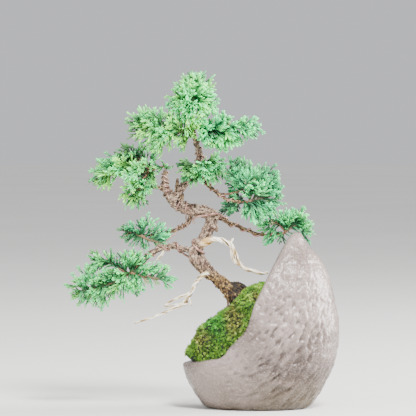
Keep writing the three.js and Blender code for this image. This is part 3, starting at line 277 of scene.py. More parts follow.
# Leafy stems: the limb that each grows on from, its spines, the tips that its fronds reach,
# how many more fronds fill it, and how yellow its green is
SPRAYS = {
    "foliage_lower_left": {
        "seed": 11, "limb": "lower_branch", "fill": 190, "warmth": 0.4,
        "spines": [
            [(-85.5, -4, 80), (-95, -4, 75.5), (-104, -5, 73), (-112, -5, 72)],
            [(-81, -3, 83), (-87, -1, 87), (-93, 1, 90), (-98, 2, 90)],
            [(-79.2, -3.2, 84), (-74, -7, 82.4), (-64, -10, 81), (-56.5, -11, 80)],
        ],
        "tips": [
            (-120, -6, 78), (-116.5, 2, 67.5), (-93, -8, 65), (-77.5, -9, 71.5), (-49, -9, 82),
            (-108, -5, 88.5), (-96, 8, 95.5), (-84, 3, 101), (-63, -9, 91), (-54, -8, 87.5),
            (-88, -2, 96), (-104, -14, 79), (-85.5, -18, 76.5), (-73, -17, 79.5), (-108, 13, 77),
            (-82.5, 15, 78), (-101, -4, 64.5), (-116, -4, 84), (-64, -14, 74), (-98, 17, 73),
            (-74, 2, 97), (-86, -4, 67), (-72, 8, 90), (-112, -6, 88), (-92, -3, 88), (-76, -6, 100),
            (-80, -8, 92), (-72, -10, 88), (-66, -8, 96), (-60, -8, 92), (-68, -12, 84), (-94, 0, 98),
            (-90, 3, 93), (-86, 2, 90), (-79, -4, 95), (-82, -6, 98), (-58, -10, 84), (-55, -10, 90),
            (-60, -10, 88), (-52, -10, 80), (-73, -12, 73), (-113, -4, 63), (-108, -3, 61.5),
            (-104, -5, 64), (-117, -3, 68.5), (-118, -6, 71), (-112, -8, 66), (-98, -4, 86),
            (-95, -4, 84), (-92, -4, 85.5), (-100, -5, 81.5), (-96, -6, 82), (-79, -5, 86),
            (-76, -12, 73), (-52, -12, 79), (-103, -6, 85), (-99, -7, 84.5), (-96, -8, 79.5),
            (-101, -4, 89), (-97, 0, 88), (-93, -7, 82), (-104, -7, 80), (-98, -9, 81), (-106, -5, 86),
            (-99, -5, 65), (-96, -6, 63.5), (-103, -4, 61.5), (-88, -7, 68.5), (-73, -9, 69.5),
            (-76, -10, 70.5), (-94, 2, 96), (-68, -4, 97), (-76, 0, 98), (-110, -6, 84), (-106, -4, 91),
            (-101, -8, 91), (-112, -8, 80), (-90, -4, 96), (-97, -4, 93), (-84, -8, 94), (-90, -10, 80),
            (-98, -6, 60.5), (-109, -6, 66), (-84, -8, 66),
        ],
    },
    "foliage_second_left": {
        "seed": 12, "limb": "second_branch", "fill": 62, "warmth": 0.15,
        "spines": [
            [(-75.5, 7.4, 107.2), (-80.5, 8, 108.6), (-84.5, 9, 109.5)],
            [(-73.6, 7.2, 106.9), (-68, 3.6, 104), (-60.5, 1.6, 102.4)],
        ],
        "tips": [
            (-85.5, 5, 111), (-81, 10, 114), (-68, 5, 121), (-79.5, 8, 99), (-72, 12, 97),
            (-78, 18, 105.5), (-54, 2, 100), (-62, -1, 98.5), (-52.5, 1, 106), (-59, 10, 115),
            (-66, 2, 113), (-84, 12, 101.5), (-69, 2, 98), (-56, 2, 108), (-51, 1, 103), (-60, 0, 100),
            (-60, 2, 111), (-54, 3, 110), (-55, 2, 106), (-87, 8, 105), (-77, 6, 114), (-69, 12, 118),
            (-69, 4, 107), (-67, 3, 106), (-83, 8, 102), (-53, 3, 112), (-60, 0, 102.5), (-62, -1, 99.5),
            (-57, 0, 101), (-66, 0, 100.5), (-82, 8, 113), (-71, 8, 95.5), (-80, 4, 113), (-76, 4, 110),
            (-72, 6, 116),
        ],
    },
    "foliage_left": {
        "seed": 13, "limb": "trunk_upper", "fill": 145, "warmth": 0.55,
        "spines": [
            [(-61, -1, 149), (-73, -2, 146), (-84, -3, 146.8), (-96, -4, 147.5)],
            [(-66, -1, 146.6), (-73, 0, 154), (-78.5, 1, 157.5)],
            [(-67, -1, 146.6), (-73, -4, 139), (-75.5, -5, 132)],
        ],
        "tips": [
            (-88.5, 2, 161), (-98.5, 3, 156), (-103, 1, 140), (-97, -8, 137.5), (-87, -8, 131),
            (-83.5, -4, 124), (-74.5, -3, 123), (-59.5, -5, 153.5), (-64, -4, 161), (-73, -2, 166),
            (-92, -14, 150.5), (-83, -17, 142.5), (-74.5, -14, 150), (-78, -14, 135), (-93, 12, 154),
            (-74.5, 13, 144), (-94, -2, 160), (-69, -8, 127), (-63, -9, 140), (-84, 15, 149),
            (-67, -9, 150), (-64, -8, 133), (-78, 3, 163), (-70, -3, 160), (-69, -4, 156),
            (-62.5, -7, 144), (-62, -6, 138), (-105, -2, 143), (-54, -4, 149), (-56, -5, 151),
            (-101, -4, 138), (-88, -6, 155), (-80, -8, 158), (-82, -6, 150), (-76, -8, 146),
            (-90, -6, 142), (-70, -8, 136),
        ],
    },
    "foliage_left_side": {
        "seed": 14, "limb": "left_side_branch", "fill": 8, "warmth": 0.3,
        "spines": [[(-73, -5.6, 136), (-75, -7, 135.4)]],
        "tips": [(-70, -14, 131), (-66, -13, 138), (-75, -16, 141)],
    },
    "foliage_upper_left": {
        "seed": 15, "limb": "high_left_branch", "fill": 112, "warmth": 0.6,
        "spines": [[(-50, -4, 171), (-61, -3, 173.5), (-73, -3, 177.5)]],
        "tips": [
            (-82.5, -3, 180.5), (-82, 0, 172.5), (-69, -3, 187.5), (-78, -5, 168), (-69, -4, 160),
            (-59, -2, 185), (-67, -12, 177.5), (-56, -13, 171), (-62, 9, 180), (-50, -8, 183),
            (-43, -11, 178), (-45, -10, 166), (-74, -4, 163), (-63, -6, 167), (-52, 8, 170),
            (-66, -3, 157), (-38, -12, 176), (-40, -12, 168), (-36, -10, 182), (-44, -14, 173),
            (-44, -9, 169), (-39, -11, 170), (-48, -4, 158), (-47, -9, 162), (-37, -11, 167),
            (-66, -4, 186), (-56, -8, 180), (-72, -8, 182), (-58, -8, 165),
        ],
    },
    "foliage_apex": {
        "seed": 16, "limb": "apex_limb", "fill": 112, "warmth": 0.45,
        "spines": [[(-41.4, 0, 194), (-41.8, 0, 200)]],
        "tips": [
            (-41.5, 0, 209), (-46, -3, 207.5), (-29, 2, 206.5), (-22.5, 0, 193), (-23, -3, 187),
            (-27, 5, 184), (-51.5, -4, 201), (-57.5, 0, 195.5), (-57, 2, 189), (-44.5, -14, 197),
            (-34, -14, 184), (-46, -12, 184.5), (-42, 13, 198.5), (-34.5, 15, 191), (-37, 3, 209),
            (-27.5, -4, 199.5), (-39, -16, 188), (-48, 12, 186), (-57, -3, 187), (-48, -10, 182),
            (-43, -12, 182), (-52, -6, 184), (-35, 2, 208), (-38, -10, 177), (-30, -6, 180),
            (-50, -6, 178), (-26, -4, 190), (-53, -4, 194), (-34, -8, 203),
        ],
    },
    "foliage_upper_right": {
        "seed": 17, "limb": "high_right_branch", "fill": 78, "warmth": 0.3,
        "spines": [[(-26.5, 2, 171.5), (-16, 3, 173.5), (-6, 3, 174)]],
        "tips": [
            (-22.5, 2, 183.5), (-6, 4, 180.5), (4.5, 2, 172.5), (-1, -4, 168), (-11, -2, 162.5),
            (-11, -11, 171), (-18.5, 12, 167.5), (-8.5, 13, 175), (-30, 8, 178), (-33, -9, 181),
            (-36, -9, 174), (-16, -3, 182.5), (-20, -10, 177.5), (-7, -3, 178), (-34, -6, 165),
            (-36, -10, 170), (-38, -9, 179), (-18, -4, 159), (-24, -4, 165), (-31, -8, 168), (-8, 6, 164),
            (-26, -6, 178), (-14, -6, 166), (-28, -6, 160),
        ],
    },
    "foliage_front": {
        "seed": 18, "limb": "front_branch", "fill": 46, "warmth": 0.5,
        "spines": [[(-34.5, -9.6, 151), (-33, -14, 151.5)]],
        "tips": [
            (-50.5, -10, 147), (-48, -12, 141.5), (-42, -14, 138), (-26, -12, 141), (-18, -12, 145.5),
            (-18.5, -13, 152), (-32, -24, 150.5), (-29, -20, 143), (-39, -18, 147), (-31, -16, 156),
            (-20, -10, 155), (-35, -14, 139.5), (-22, -12, 141), (-28, -16, 148), (-44, -12, 149),
        ],
    },
    "foliage_right": {
        "seed": 19, "limb": "upper_right_branch", "fill": 130, "warmth": 0.15,
        "spines": [
            [(-2.5, -6.6, 128.6), (3.5, -5, 130), (8.5, -4, 132)],
            [(-4.6, -6.8, 128.6), (-4.8, -8, 135), (-4, -8.6, 143)],
        ],
        "tips": [
            (-11, 0, 157), (4.5, -4, 153), (11, 0, 152), (13.5, -6, 148), (15.5, -5, 139),
            (17.5, -2, 127), (11, -6, 119), (-7.5, -9, 116), (-20, 2, 141), (-1, -17, 142.5),
            (6, -16, 137.5), (-8.5, -18, 134), (2.5, 11, 147.5), (3, -6, 115), (-18, -4, 148),
            (10, 4, 122), (12, 5, 134), (-14, 3, 151), (-18, -2, 157), (-22, -4, 152), (-5, -5, 151),
            (-21, 4, 121.5), (-24, 3, 124), (-23, 4, 122.5), (-26, 3, 121), (-9, -9, 124), (-4, -5, 121),
            (2, -4, 119), (8, -3, 117.5), (14, 0, 121), (0, 2, 116), (-12, -8, 146), (-10, -10, 139),
            (6, -6, 125), (-6, -10, 131), (12, -4, 143),
        ],
    },
    "foliage_far_right": {
        "seed": 20, "limb": "right_branch", "fill": 88, "warmth": 0.25,
        "spines": [
            [(19, 16, 110.4), (24, 17, 113), (28.5, 17, 114)],
            [(16.9, 15.2, 109.2), (12, 13, 114), (6, 11.5, 116.5)],
        ],
        "tips": [
            (17.5, 13, 124), (28, 14, 125), (32, 18, 114.5), (36, 14, 108), (34, 18, 103),
            (28, 22, 106.5), (12, 17, 102.5), (20, 24, 105.5), (26, 27, 115.5), (-3, 11, 114),
            (3, 12, 121), (10, 10, 124), (23, 9, 120), (6, 16, 103), (14, 9, 116), (12, 16, 99),
            (2, 12, 104), (9, 12, 104), (14, 4, 123), (16, 14, 106), (20, 14, 103), (14, 12, 103),
            (14, 12, 112), (12, 13, 108), (17, 14, 108), (21, 12, 123), (15, 12, 108), (17, 13, 104),
            (12, 15, 99.5), (20, 15, 107), (22, 8, 118), (30, 12, 120), (9, 8, 118), (6, 12, 109),
            (27, 10, 110), (33, 14, 110), (16, 8, 119),
        ],
    },
    "foliage_rear": {
        "seed": 21, "limb": "rear_branch", "fill": 18, "warmth": 0.2,
        "spines": [[(-16.5, 20, 144.6), (-13, 25, 145)]],
        "tips": [
            (-21, 20, 149), (-10, 27, 140.5), (-6, 31, 145.5), (-8.5, 30, 152), (-15, 26, 154.5),
            (-13, 36, 147), (-19.5, 21, 138), (-15, 21, 139.5), (-20, 19, 145),
        ],
    },
}
CORD_WIDTH = 1.42  # a scale-leaved branchlet, from corner to corner of its four sides
SCALE_PITCH = 1.5  # length of one pair of scale leaves on it
SPRIG_LENGTH = 9.6
SPRIG_KINDS = 4
SPRIG_SPACING = 3.1  # between sprigs along a frond
SPRIG_OPENING = 33.0  # degrees between a sprig and its frond
TIP_SPRIG = 5.6  # how far the last sprig stands past its frond
TIP_PLACE = 0.985  # only a frond's last point lies further along it than this
STEM_SIDES = 5
POT_ROOM = 1.6  # room left round the pot's side, where fronds keep off it
YELLOW_PAST = -112  # x beyond which the outermost leaves are yellower
SPINE_START = (0.45, 2.2)  # how far past its limb's end a spine has its first two points
FILL_STRAY = (1.4, 3.6, 1.4)  # how far filling fronds stray from their places, each way
FROND_ARCH = 0.08  # a frond's rise in its middle, to its length
FROND_SWAY = 0.06

# Moss
MOSS_VOXEL = 1.0
MOSS_CLUMP = 5.2  # width of the rounded clumps that the cushion has grown in
MOSS_ZONES = {  # x, z of patches that are dry or vivid green, and how far each reaches each way
    "dry": [(-14, 55, 5.5, 8.5), (-34, 42, 4.5, 5.5), (-1, 70, 3, 3)],
    "vivid": [(-25.5, 51.5, 7, 7)],
}
TUFT_SPACING = 1.15
TUFT_HEIGHT = 1.7
TUFT_KINDS = 3
TUFT_DENSITY = 1.6e6  # at most, to the square metre
TUFT_LEAVES = 7
OPEN_SIDE = (-0.5, 0, 0.86)  # the way that the cushion faces the air
MOSS_SINK = 1.5  # how far the cushion lies under the tops of its tufts


# Curves through rows of numbers
def row_at(rows, u):
    """The row of numbers at a place u from 0 to 1 along a list of rows, on a smooth curve."""
    rows = np.asarray(rows, float)
    place = np.clip(np.atleast_1d(u), 0, 1) * (len(rows) - 1)
    i = np.minimum(place.astype(int), len(rows) - 2)
    t = (place - i)[:, None]
    a, b = rows[np.maximum(i - 1, 0)], rows[i]
    d, e = rows[i + 1], rows[np.minimum(i + 2, len(rows) - 1)]
    return b + 0.5 * t * (d - a + t * (2 * a - 5 * b + 4 * d - e + t * (3 * (b - d) + e - a)))


def unit(vectors):
    return vectors / np.maximum(np.linalg.norm(vectors, axis=-1, keepdims=True), 1e-12)


def limb_frames(rows, u):
    """Centre, direction, two cross directions and radius of a limb at places u."""
    u = np.atleast_1d(u)
    centre = row_at(rows, u)
    along = unit((row_at(rows, u + 0.01) - row_at(rows, u - 0.01))[:, :3])
    front = np.tile(np.array(FRONT), (len(u), 1))
    front = unit(front - along * (front * along).sum(1)[:, None])
    return centre[:, :3], along, front, np.cross(front, along), centre[:, 3]


def path_length(points):
    return float(np.linalg.norm(np.diff(np.asarray(points)[:, :3], axis=0), axis=1).sum())


# Meshes and finished pieces
def mesh_from(name, points, faces, edges=()):
    """A mesh in metres from points in millimetres."""
    mesh = bpy.data.meshes.new(name)
    mesh.from_pydata([tuple(float(c) * MM for c in p) for p in points], list(edges), faces)
    mesh.update()
    return mesh


def placed(name, mesh):
    thing = bpy.data.objects.new(name, mesh)
    bpy.context.scene.collection.objects.link(thing)
    return thing


def baked(thing, name):
    """A plain mesh of what an object's modifiers make; the object itself is removed."""
    bpy.context.view_layer.update()
    graph = bpy.context.evaluated_depsgraph_get()
    mesh = bpy.data.meshes.new_from_object(thing.evaluated_get(graph))
    mesh.name = name
    bpy.data.objects.remove(thing)
    return mesh


def remeshed(mesh, voxel):
    """One closed skin round everything in a mesh, in millimetre voxels."""
    thing = placed("skin", mesh)
    skin = thing.modifiers.new("skin", "REMESH")
    skin.mode = "VOXEL"
    skin.voxel_size = voxel * MM
    return baked(thing, mesh.name)


def cut(mesh, cutter):
    """The mesh with a cutter's shape taken out of it."""
    body, tool = placed("body", mesh), placed("tool", cutter)
    difference = body.modifiers.new("cut", "BOOLEAN")
    difference.operation = "DIFFERENCE"
    difference.solver = "EXACT"
    difference.object = tool
    result = baked(body, mesh.name)
    bpy.data.objects.remove(tool)
    return result


def reworked(mesh, work):
    """The same mesh after some work on its points and faces."""
    shape = bmesh.new()
    shape.from_mesh(mesh)
    work(shape)
    shape.to_mesh(mesh)
    shape.free()
    return mesh


def outward(mesh):
    """The same mesh with its faces turned outwards."""
    return reworked(mesh, lambda shape: bmesh.ops.recalc_face_normals(shape, faces=shape.faces))


def merged_copy(node):
    """A CAD node's surface with its triangles joined at their corners."""
    mesh = frame["nodes"][node].data.copy()
    mesh.materials.clear()
    return reworked(mesh, lambda shape: bmesh.ops.remove_doubles(shape, verts=shape.verts, dist=1e-6))


def smoothed(mesh, passes, strength=0.5):
    """The mesh with its small bumps evened out."""
    thing = placed("smooth", mesh)
    smooth = thing.modifiers.new("smooth", "SMOOTH")
    smooth.iterations = passes
    smooth.factor = strength
    return baked(thing, mesh.name)


def points_of(mesh):
    """Points and normals of a mesh, the points in millimetres."""
    points, normals = np.zeros(len(mesh.vertices) * 3), np.zeros(len(mesh.vertices) * 3)
    mesh.vertices.foreach_get("co", points)
    mesh.vertices.foreach_get("normal", normals)
    return points.reshape(-1, 3) / MM, normals.reshape(-1, 3)


def move_points(mesh, points):
    mesh.vertices.foreach_set("co", (points * MM).ravel())
    mesh.update()


def store(mesh, **fields):
    """Keeps one number, or one vector, for each point of the mesh, under each name."""
    for name, values in fields.items():
        values = np.asarray(values, np.float32)
        kind, key = ("FLOAT", "value") if values.ndim == 1 else ("FLOAT_VECTOR", "vector")
        mesh.attributes.new(name, kind, "POINT").data.foreach_set(key, values.ravel())


def roughness_at(points, size, seed=0.0):
    """Noise from -1 to 1 whose lumps are about as wide as size, which may differ for each axis."""
    scaled = points / np.asarray(size, float) + seed
    return np.array([noise.noise(p) for p in scaled.tolist()])


def finished(name, mesh, material, slot, *nodes):
    """A piece in place, which rides on the root body and stands for some CAD nodes."""
    mesh.materials.clear()
    mesh.materials.append(material)
    mesh.polygons.foreach_set("material_index", [0] * len(mesh.polygons))
    mesh.polygons.foreach_set("use_smooth", [True] * len(mesh.polygons))
    piece = placed(name, mesh)
    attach(piece, "root")
    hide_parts(*nodes)


# Nodes
def linear(code, alpha=1.0):
    """Linear colour of an sRGB hex value."""
    parts = [int(code[i:i + 2], 16) / 255 for i in (0, 2, 4)]
    return (*[c / 12.92 if c <= 0.04045 else ((c + 0.055) / 1.055) ** 2.4 for c in parts], alpha)


def add(tree, kind, inputs=None, **settings):
    """Adds a node with its settings; an input is given a value, or the socket that feeds it."""
    node = tree.nodes.new(kind)
    for name, value in settings.items():
        setattr(node, name, value)
    for name, value in (inputs or {}).items():
        if isinstance(value, bpy.types.NodeSocket):
            tree.links.new(value, node.inputs[name])
        else:
            node.inputs[name].default_value = value
    return node


def lumps(size):
    """Scale of a noise whose lumps are this many millimetres wide."""
    return 1 / (size * MM)


def new_material(name, **constants):
    """A material with its node tree, its shader and the object's own coordinates."""
    material = bpy.data.materials.new(name)
    material.use_nodes = True
    tree = material.node_tree
    shader = tree.nodes["Principled BSDF"]
    for socket, value in constants.items():
        shader.inputs[socket.replace("_", " ")].default_value = value
    place = tree.nodes.new("ShaderNodeTexCoord").outputs["Object"]
    return material, tree, shader, place


def noise_field(tree, place, size, detail):
    """Noise from 0 to 1 whose lumps are this many millimetres wide."""
    inputs = {"Vector": place, "Scale": lumps(size), "Detail": detail}
    return add(tree, "ShaderNodeTexNoise", inputs).outputs[0]


def ramp(tree, value, *stops):
    """Colours along a value: each stop is a place and a hex value."""
    node = add(tree, "ShaderNodeValToRGB", {"Fac": value})
    marks = node.color_ramp.elements
    while len(marks) < len(stops):
        marks.new(0.5)
    for mark, (where, code) in zip(marks, stops):
        mark.position = where
        mark.color = linear(code)
    return node.outputs["Color"]


def blended(tree, share, first, second):
    """Mixes two colours, each a socket or a hex value."""
    node = add(tree, "ShaderNodeMix", data_type="RGBA")
    for socket, value in ((node.inputs["Factor"], share), (node.inputs[6], first), (node.inputs[7], second)):
        if isinstance(value, bpy.types.NodeSocket):
            tree.links.new(value, socket)
        else:
            socket.default_value = linear(value) if isinstance(value, str) else value
    return node.outputs[2]


def spread(tree, value, low, high, new_low=0.0, new_high=1.0):
    """A value from low to high, stretched and clamped to run from new_low to new_high."""
    names = ("Value", "From Min", "From Max", "To Min", "To Max")
    return add(tree, "ShaderNodeMapRange", dict(zip(names, (value, low, high, new_low, new_high)))).outputs[0]


def math_node(tree, operation, first, second=0.0):
    return add(tree, "ShaderNodeMath", {0: first, 1: second}, operation=operation).outputs[0]


def times(tree, first, second):
    return math_node(tree, "MULTIPLY", first, second)


def plus(tree, first, second):
    return math_node(tree, "ADD", first, second)


def attribute(tree, name, output="Fac"):
    return add(tree, "ShaderNodeAttribute", attribute_name=name).outputs[output]


def relief(tree, shader, height, depth, under=None):
    """Bump of a real depth in millimetres, laid over another bump where one is given."""
    inputs = {"Height": height, "Distance": depth * MM, "Strength": 1.0}
    if under is not None:
        inputs["Normal"] = under
    bump = add(tree, "ShaderNodeBump", inputs).outputs["Normal"]
    tree.links.new(bump, shader.inputs["Normal"])
    return bump


# Geometry Nodes trees
def rule(name, sizes):
    """A Geometry Nodes tree with named inputs, each a name and a kind of socket."""
    tree = bpy.data.node_groups.new(name, "GeometryNodeTree")
    tree.interface.new_socket("Geometry", in_out="INPUT", socket_type="NodeSocketGeometry")
    tree.interface.new_socket("Geometry", in_out="OUTPUT", socket_type="NodeSocketGeometry")
    for label, kind in sizes.items():
        tree.interface.new_socket(label, in_out="INPUT", socket_type="NodeSocket" + kind)
    given = tree.nodes.new("NodeGroupInput").outputs
    made = tree.nodes.new("NodeGroupOutput").inputs[0]
    return tree, given, made


def grown(mesh, tree, values):
    """The plain mesh that a rule makes from a mesh of points, edges or faces."""
    thing = placed(mesh.name, mesh)
    modifier = thing.modifiers.new(tree.name, "NODES")
    modifier.node_group = tree
    for item in tree.interface.items_tree:
        if item.in_out == "INPUT" and item.name in values:
            modifier[item.identifier] = values[item.name]
    return baked(thing, mesh.name)


def end_of_rule(tree, geometry, material, made):
    """Makes a rule's result real geometry with its material."""
    solid = add(tree, "GeometryNodeRealizeInstances", {"Geometry": geometry})
    coated = add(tree, "GeometryNodeSetMaterial", {"Geometry": solid.outputs[0], "Material": material})
    tree.links.new(coated.outputs[0], made)


def named(tree, name, kind="FLOAT"):
    return add(tree, "GeometryNodeInputNamedAttribute", {"Name": name}, data_type=kind).outputs[0]


def between(tree, low, high, seed):
    """A random number a point, from low to high."""
    return add(tree, "FunctionNodeRandomValue", {2: low, 3: high, "Seed": seed}, data_type="FLOAT").outputs[1]


def vector_math(tree, operation, first, second=None, scale=None):
    inputs = {0: first}
    if second is not None:
        inputs[1] = second
    if scale is not None:
        inputs["Scale"] = scale
    node = add(tree, "ShaderNodeVectorMath", operation=operation, inputs=inputs)
    return node.outputs["Vector"]


def tubes_along(tree, path, sides):
    """Tubes along curves, each as wide as its points say, with closed ends."""
    ring = add(tree, "GeometryNodeCurvePrimitiveCircle", {"Resolution": sides, "Radius": 1.0})
    return add(tree, "GeometryNodeCurveToMesh", {
        "Curve": path, "Profile Curve": ring.outputs[0], "Scale": named(tree, "width"), "Fill Caps": True,
    }).outputs[0]


def part_from(tree, box, count):
    """The parts in a collection, and which of them a point takes by chance."""
    parts = add(tree, "GeometryNodeCollectionInfo",
                {"Collection": box, "Separate Children": True, "Reset Children": True})
    choice = add(tree, "FunctionNodeRandomValue", {4: 0, 5: count - 1, "Seed": 3}, data_type="INT")
    return {"Instance": parts.outputs[0], "Pick Instance": True, "Instance Index": choice.outputs[2]}


def joined(tree, first, second):
    both = tree.nodes.new("GeometryNodeJoinGeometry")
    tree.links.new(first, both.inputs[0])
    tree.links.new(second, both.inputs[0])
    return both.outputs[0]


def stem_rule():
    """Tubes along the edges of a mesh."""
    tree, given, made = rule("Tubes along their paths", {"Sides": "Int", "Material": "Material"})
    path = add(tree, "GeometryNodeMeshToCurve", {"Mesh": given["Geometry"]}).outputs[0]
    end_of_rule(tree, tubes_along(tree, path, given["Sides"]), given["Material"], made)
    return tree


def frond_rule():
    """Stems along edges, with sprigs that leave them left and right in one plane, and one at each tip."""
    tree, given, made = rule("Juniper fronds", {
        "Spacing": "Float", "Opening": "Float", "Sprigs": "Collection", "Seed": "Int", "Material": "Material",
    })
    stems = add(tree, "GeometryNodeMeshToCurve", {"Mesh": given["Geometry"]}).outputs[0]
    bare = tubes_along(tree, stems, STEM_SIDES)
    spaced = add(tree, "GeometryNodeResampleCurve", {"Curve": stems, "Length": given["Spacing"]},
                 mode="LENGTH")
    along = tree.nodes.new("GeometryNodeInputTangent").outputs[0]
    place = tree.nodes.new("GeometryNodeSplineParameter").outputs
    odd = math_node(tree, "MODULO", place["Index"], 2.0)
    hand = math_node(tree, "SUBTRACT", times(tree, odd, 2.0), 1.0)
    is_tip = math_node(tree, "GREATER_THAN", place["Factor"], TIP_PLACE)
    inner = math_node(tree, "SUBTRACT", 1.0, is_tip)
    face = named(tree, "face", "FLOAT_VECTOR")
    across = vector_math(tree, "CROSS_PRODUCT", along, face)
    angle = times(tree, given["Opening"], between(tree, 0.7, 1.3, given["Seed"]))
    angle = times(tree, angle, inner)
    sideways = times(tree, math_node(tree, "SINE", angle), hand)
    out = vector_math(tree, "SCALE", along, scale=math_node(tree, "COSINE", angle))
    out = vector_math(tree, "ADD", out, vector_math(tree, "SCALE", across, scale=sideways))
    off_plane = times(tree, between(tree, -0.2, 0.2, 5), inner)
    out = vector_math(tree, "ADD", out, vector_math(tree, "SCALE", face, scale=off_plane))
    turn = add(tree, "FunctionNodeAxesToRotation", {"Primary Axis": out, "Secondary Axis": face},
               primary_axis="Z", secondary_axis="X")
    size = spread(tree, place["Factor"], 0.1, 1.0, 1.15, 0.6)
    size = times(tree, size, between(tree, 0.8, 1.15, 8))
    size = times(tree, size, named(tree, "reach"))
    is_leafy = math_node(tree, "GREATER_THAN", place["Factor"], named(tree, "bare"))
    sprigs = add(tree, "GeometryNodeInstanceOnPoints", {
        "Points": spaced.outputs[0], "Selection": is_leafy, "Rotation": turn.outputs[0], "Scale": size,
        **part_from(tree, given["Sprigs"], SPRIG_KINDS),
    })
    end_of_rule(tree, joined(tree, bare, sprigs.outputs[0]), given["Material"], made)
    return tree


def moss_rule():
    """Tufts that stand on a cushion's open side."""
    tree, given, made = rule("Moss tufts", {
        "Spacing": "Float", "Tufts": "Collection", "Seed": "Int", "Material": "Material",
    })
    scattered = add(tree, "GeometryNodeDistributePointsOnFaces", {
        "Mesh": given["Geometry"], "Selection": named(tree, "open"), "Distance Min": given["Spacing"],
        "Density Max": TUFT_DENSITY, "Seed": given["Seed"],
    }, distribute_method="POISSON")
    spin = between(tree, 0.0, 2 * math.pi, 2)
    turn = add(tree, "FunctionNodeRotateRotation", {
        "Rotation": scattered.outputs["Rotation"],
        "Rotate By": add(tree, "FunctionNodeAxisAngleToRotation", {"Angle": spin}).outputs[0],
    }, rotation_space="LOCAL")
    standing = add(tree, "GeometryNodeInstanceOnPoints", {
        "Points": scattered.outputs["Points"], "Rotation": turn.outputs[0],
        "Scale": between(tree, 0.7, 1.25, 6), **part_from(tree, given["Tufts"], TUFT_KINDS),
    })
    tinted = add(tree, "GeometryNodeStoreNamedAttribute", {
        "Geometry": standing.outputs[0], "Name": "tint", "Value": between(tree, 0.0, 1.0, 9),
    }, data_type="FLOAT", domain="INSTANCE")
    end_of_rule(tree, joined(tree, given["Geometry"], tinted.outputs[0]), given["Material"], made)
    return tree


# Materials
def stoneware():
    """Unglazed stoneware, beaten and pitted by hand like a river boulder, then fired and rubbed.

    It is a grey beige with a faint pink, clouded, with painted light and shade, painted glints and painted
    shade in its pits; its bumps have a soft satin shine."""
    material, tree, shader, place = new_material("unglazed stoneware", Roughness=0.45, IOR=1.5)
    clouds = noise_field(tree, place, 26, 4)
    # the clay's own random clouds of colour, with painted light and shade laid over them
    tone = plus(tree, attribute(tree, "tone"), spread(tree, clouds, 0.3, 0.7, -0.2, 0.2))
    colour = ramp(tree, tone, (0.1, "877872"), (0.5, "685a54"), (0.9, "4c3f39"))
    # The clay's real grains are under half a millimetre: too fine to show, so they are drawn coarser
    grains = noise_field(tree, place, 1.1, 2)
    colour = blended(tree, spread(tree, grains, 0.4, 0.75, 0.0, 0.3), colour, "a8968d")
    # painted shade: the pits are darkened where shade falls in them
    hollow = attribute(tree, "hollow")
    colour = blended(tree, spread(tree, hollow, 0.15, 0.9, 0.0, 0.75), colour, "40332c")
    # lighter bumps: partly rubbed wear, partly painted highlight on their crests
    colour = blended(tree, spread(tree, attribute(tree, "rubbed"), 0.3, 1.0, 0.0, 0.35), colour, "a39189")
    height = add(tree, "ShaderNodeSeparateXYZ", {0: place}).outputs["Z"]
    near_foot = spread(tree, height, 0.026, 0.0, 0.0, 1.0)
    stain = times(tree, near_foot, spread(tree, clouds, 0.35, 0.65, 0.35, 1.0))
    colour = blended(tree, times(tree, stain, 0.75), colour, "574a30")
    # darker in the last few millimetres above the floor, broken up by the grain
    darker_at_foot = spread(tree, height, 0.0055, 0.001, 0.0, 1.0)
    darker_at_foot = times(tree, darker_at_foot, spread(tree, grains, 0.35, 0.6))
    colour = blended(tree, darker_at_foot, colour, "2c2216")
    # painted glints: small light specks all over, standing for bumps catching the lamps
    glint_specks = add(tree, "ShaderNodeTexVoronoi", {"Vector": place, "Scale": lumps(2.4)})
    bright = math_node(tree, "LESS_THAN", glint_specks.outputs["Distance"], 0.13)
    colour = blended(tree, times(tree, bright, 0.2), colour, "e4dbd5")
    tree.links.new(colour, shader.inputs["Base Color"])
    tree.links.new(spread(tree, grains, 0.3, 0.7, 0.17, 0.33), shader.inputs["Roughness"])
    grit = noise_field(tree, place, 0.7, 3)
    relief(tree, shader, grit, 0.1, relief(tree, shader, noise_field(tree, place, 1.8, 2), 0.5))
    return material


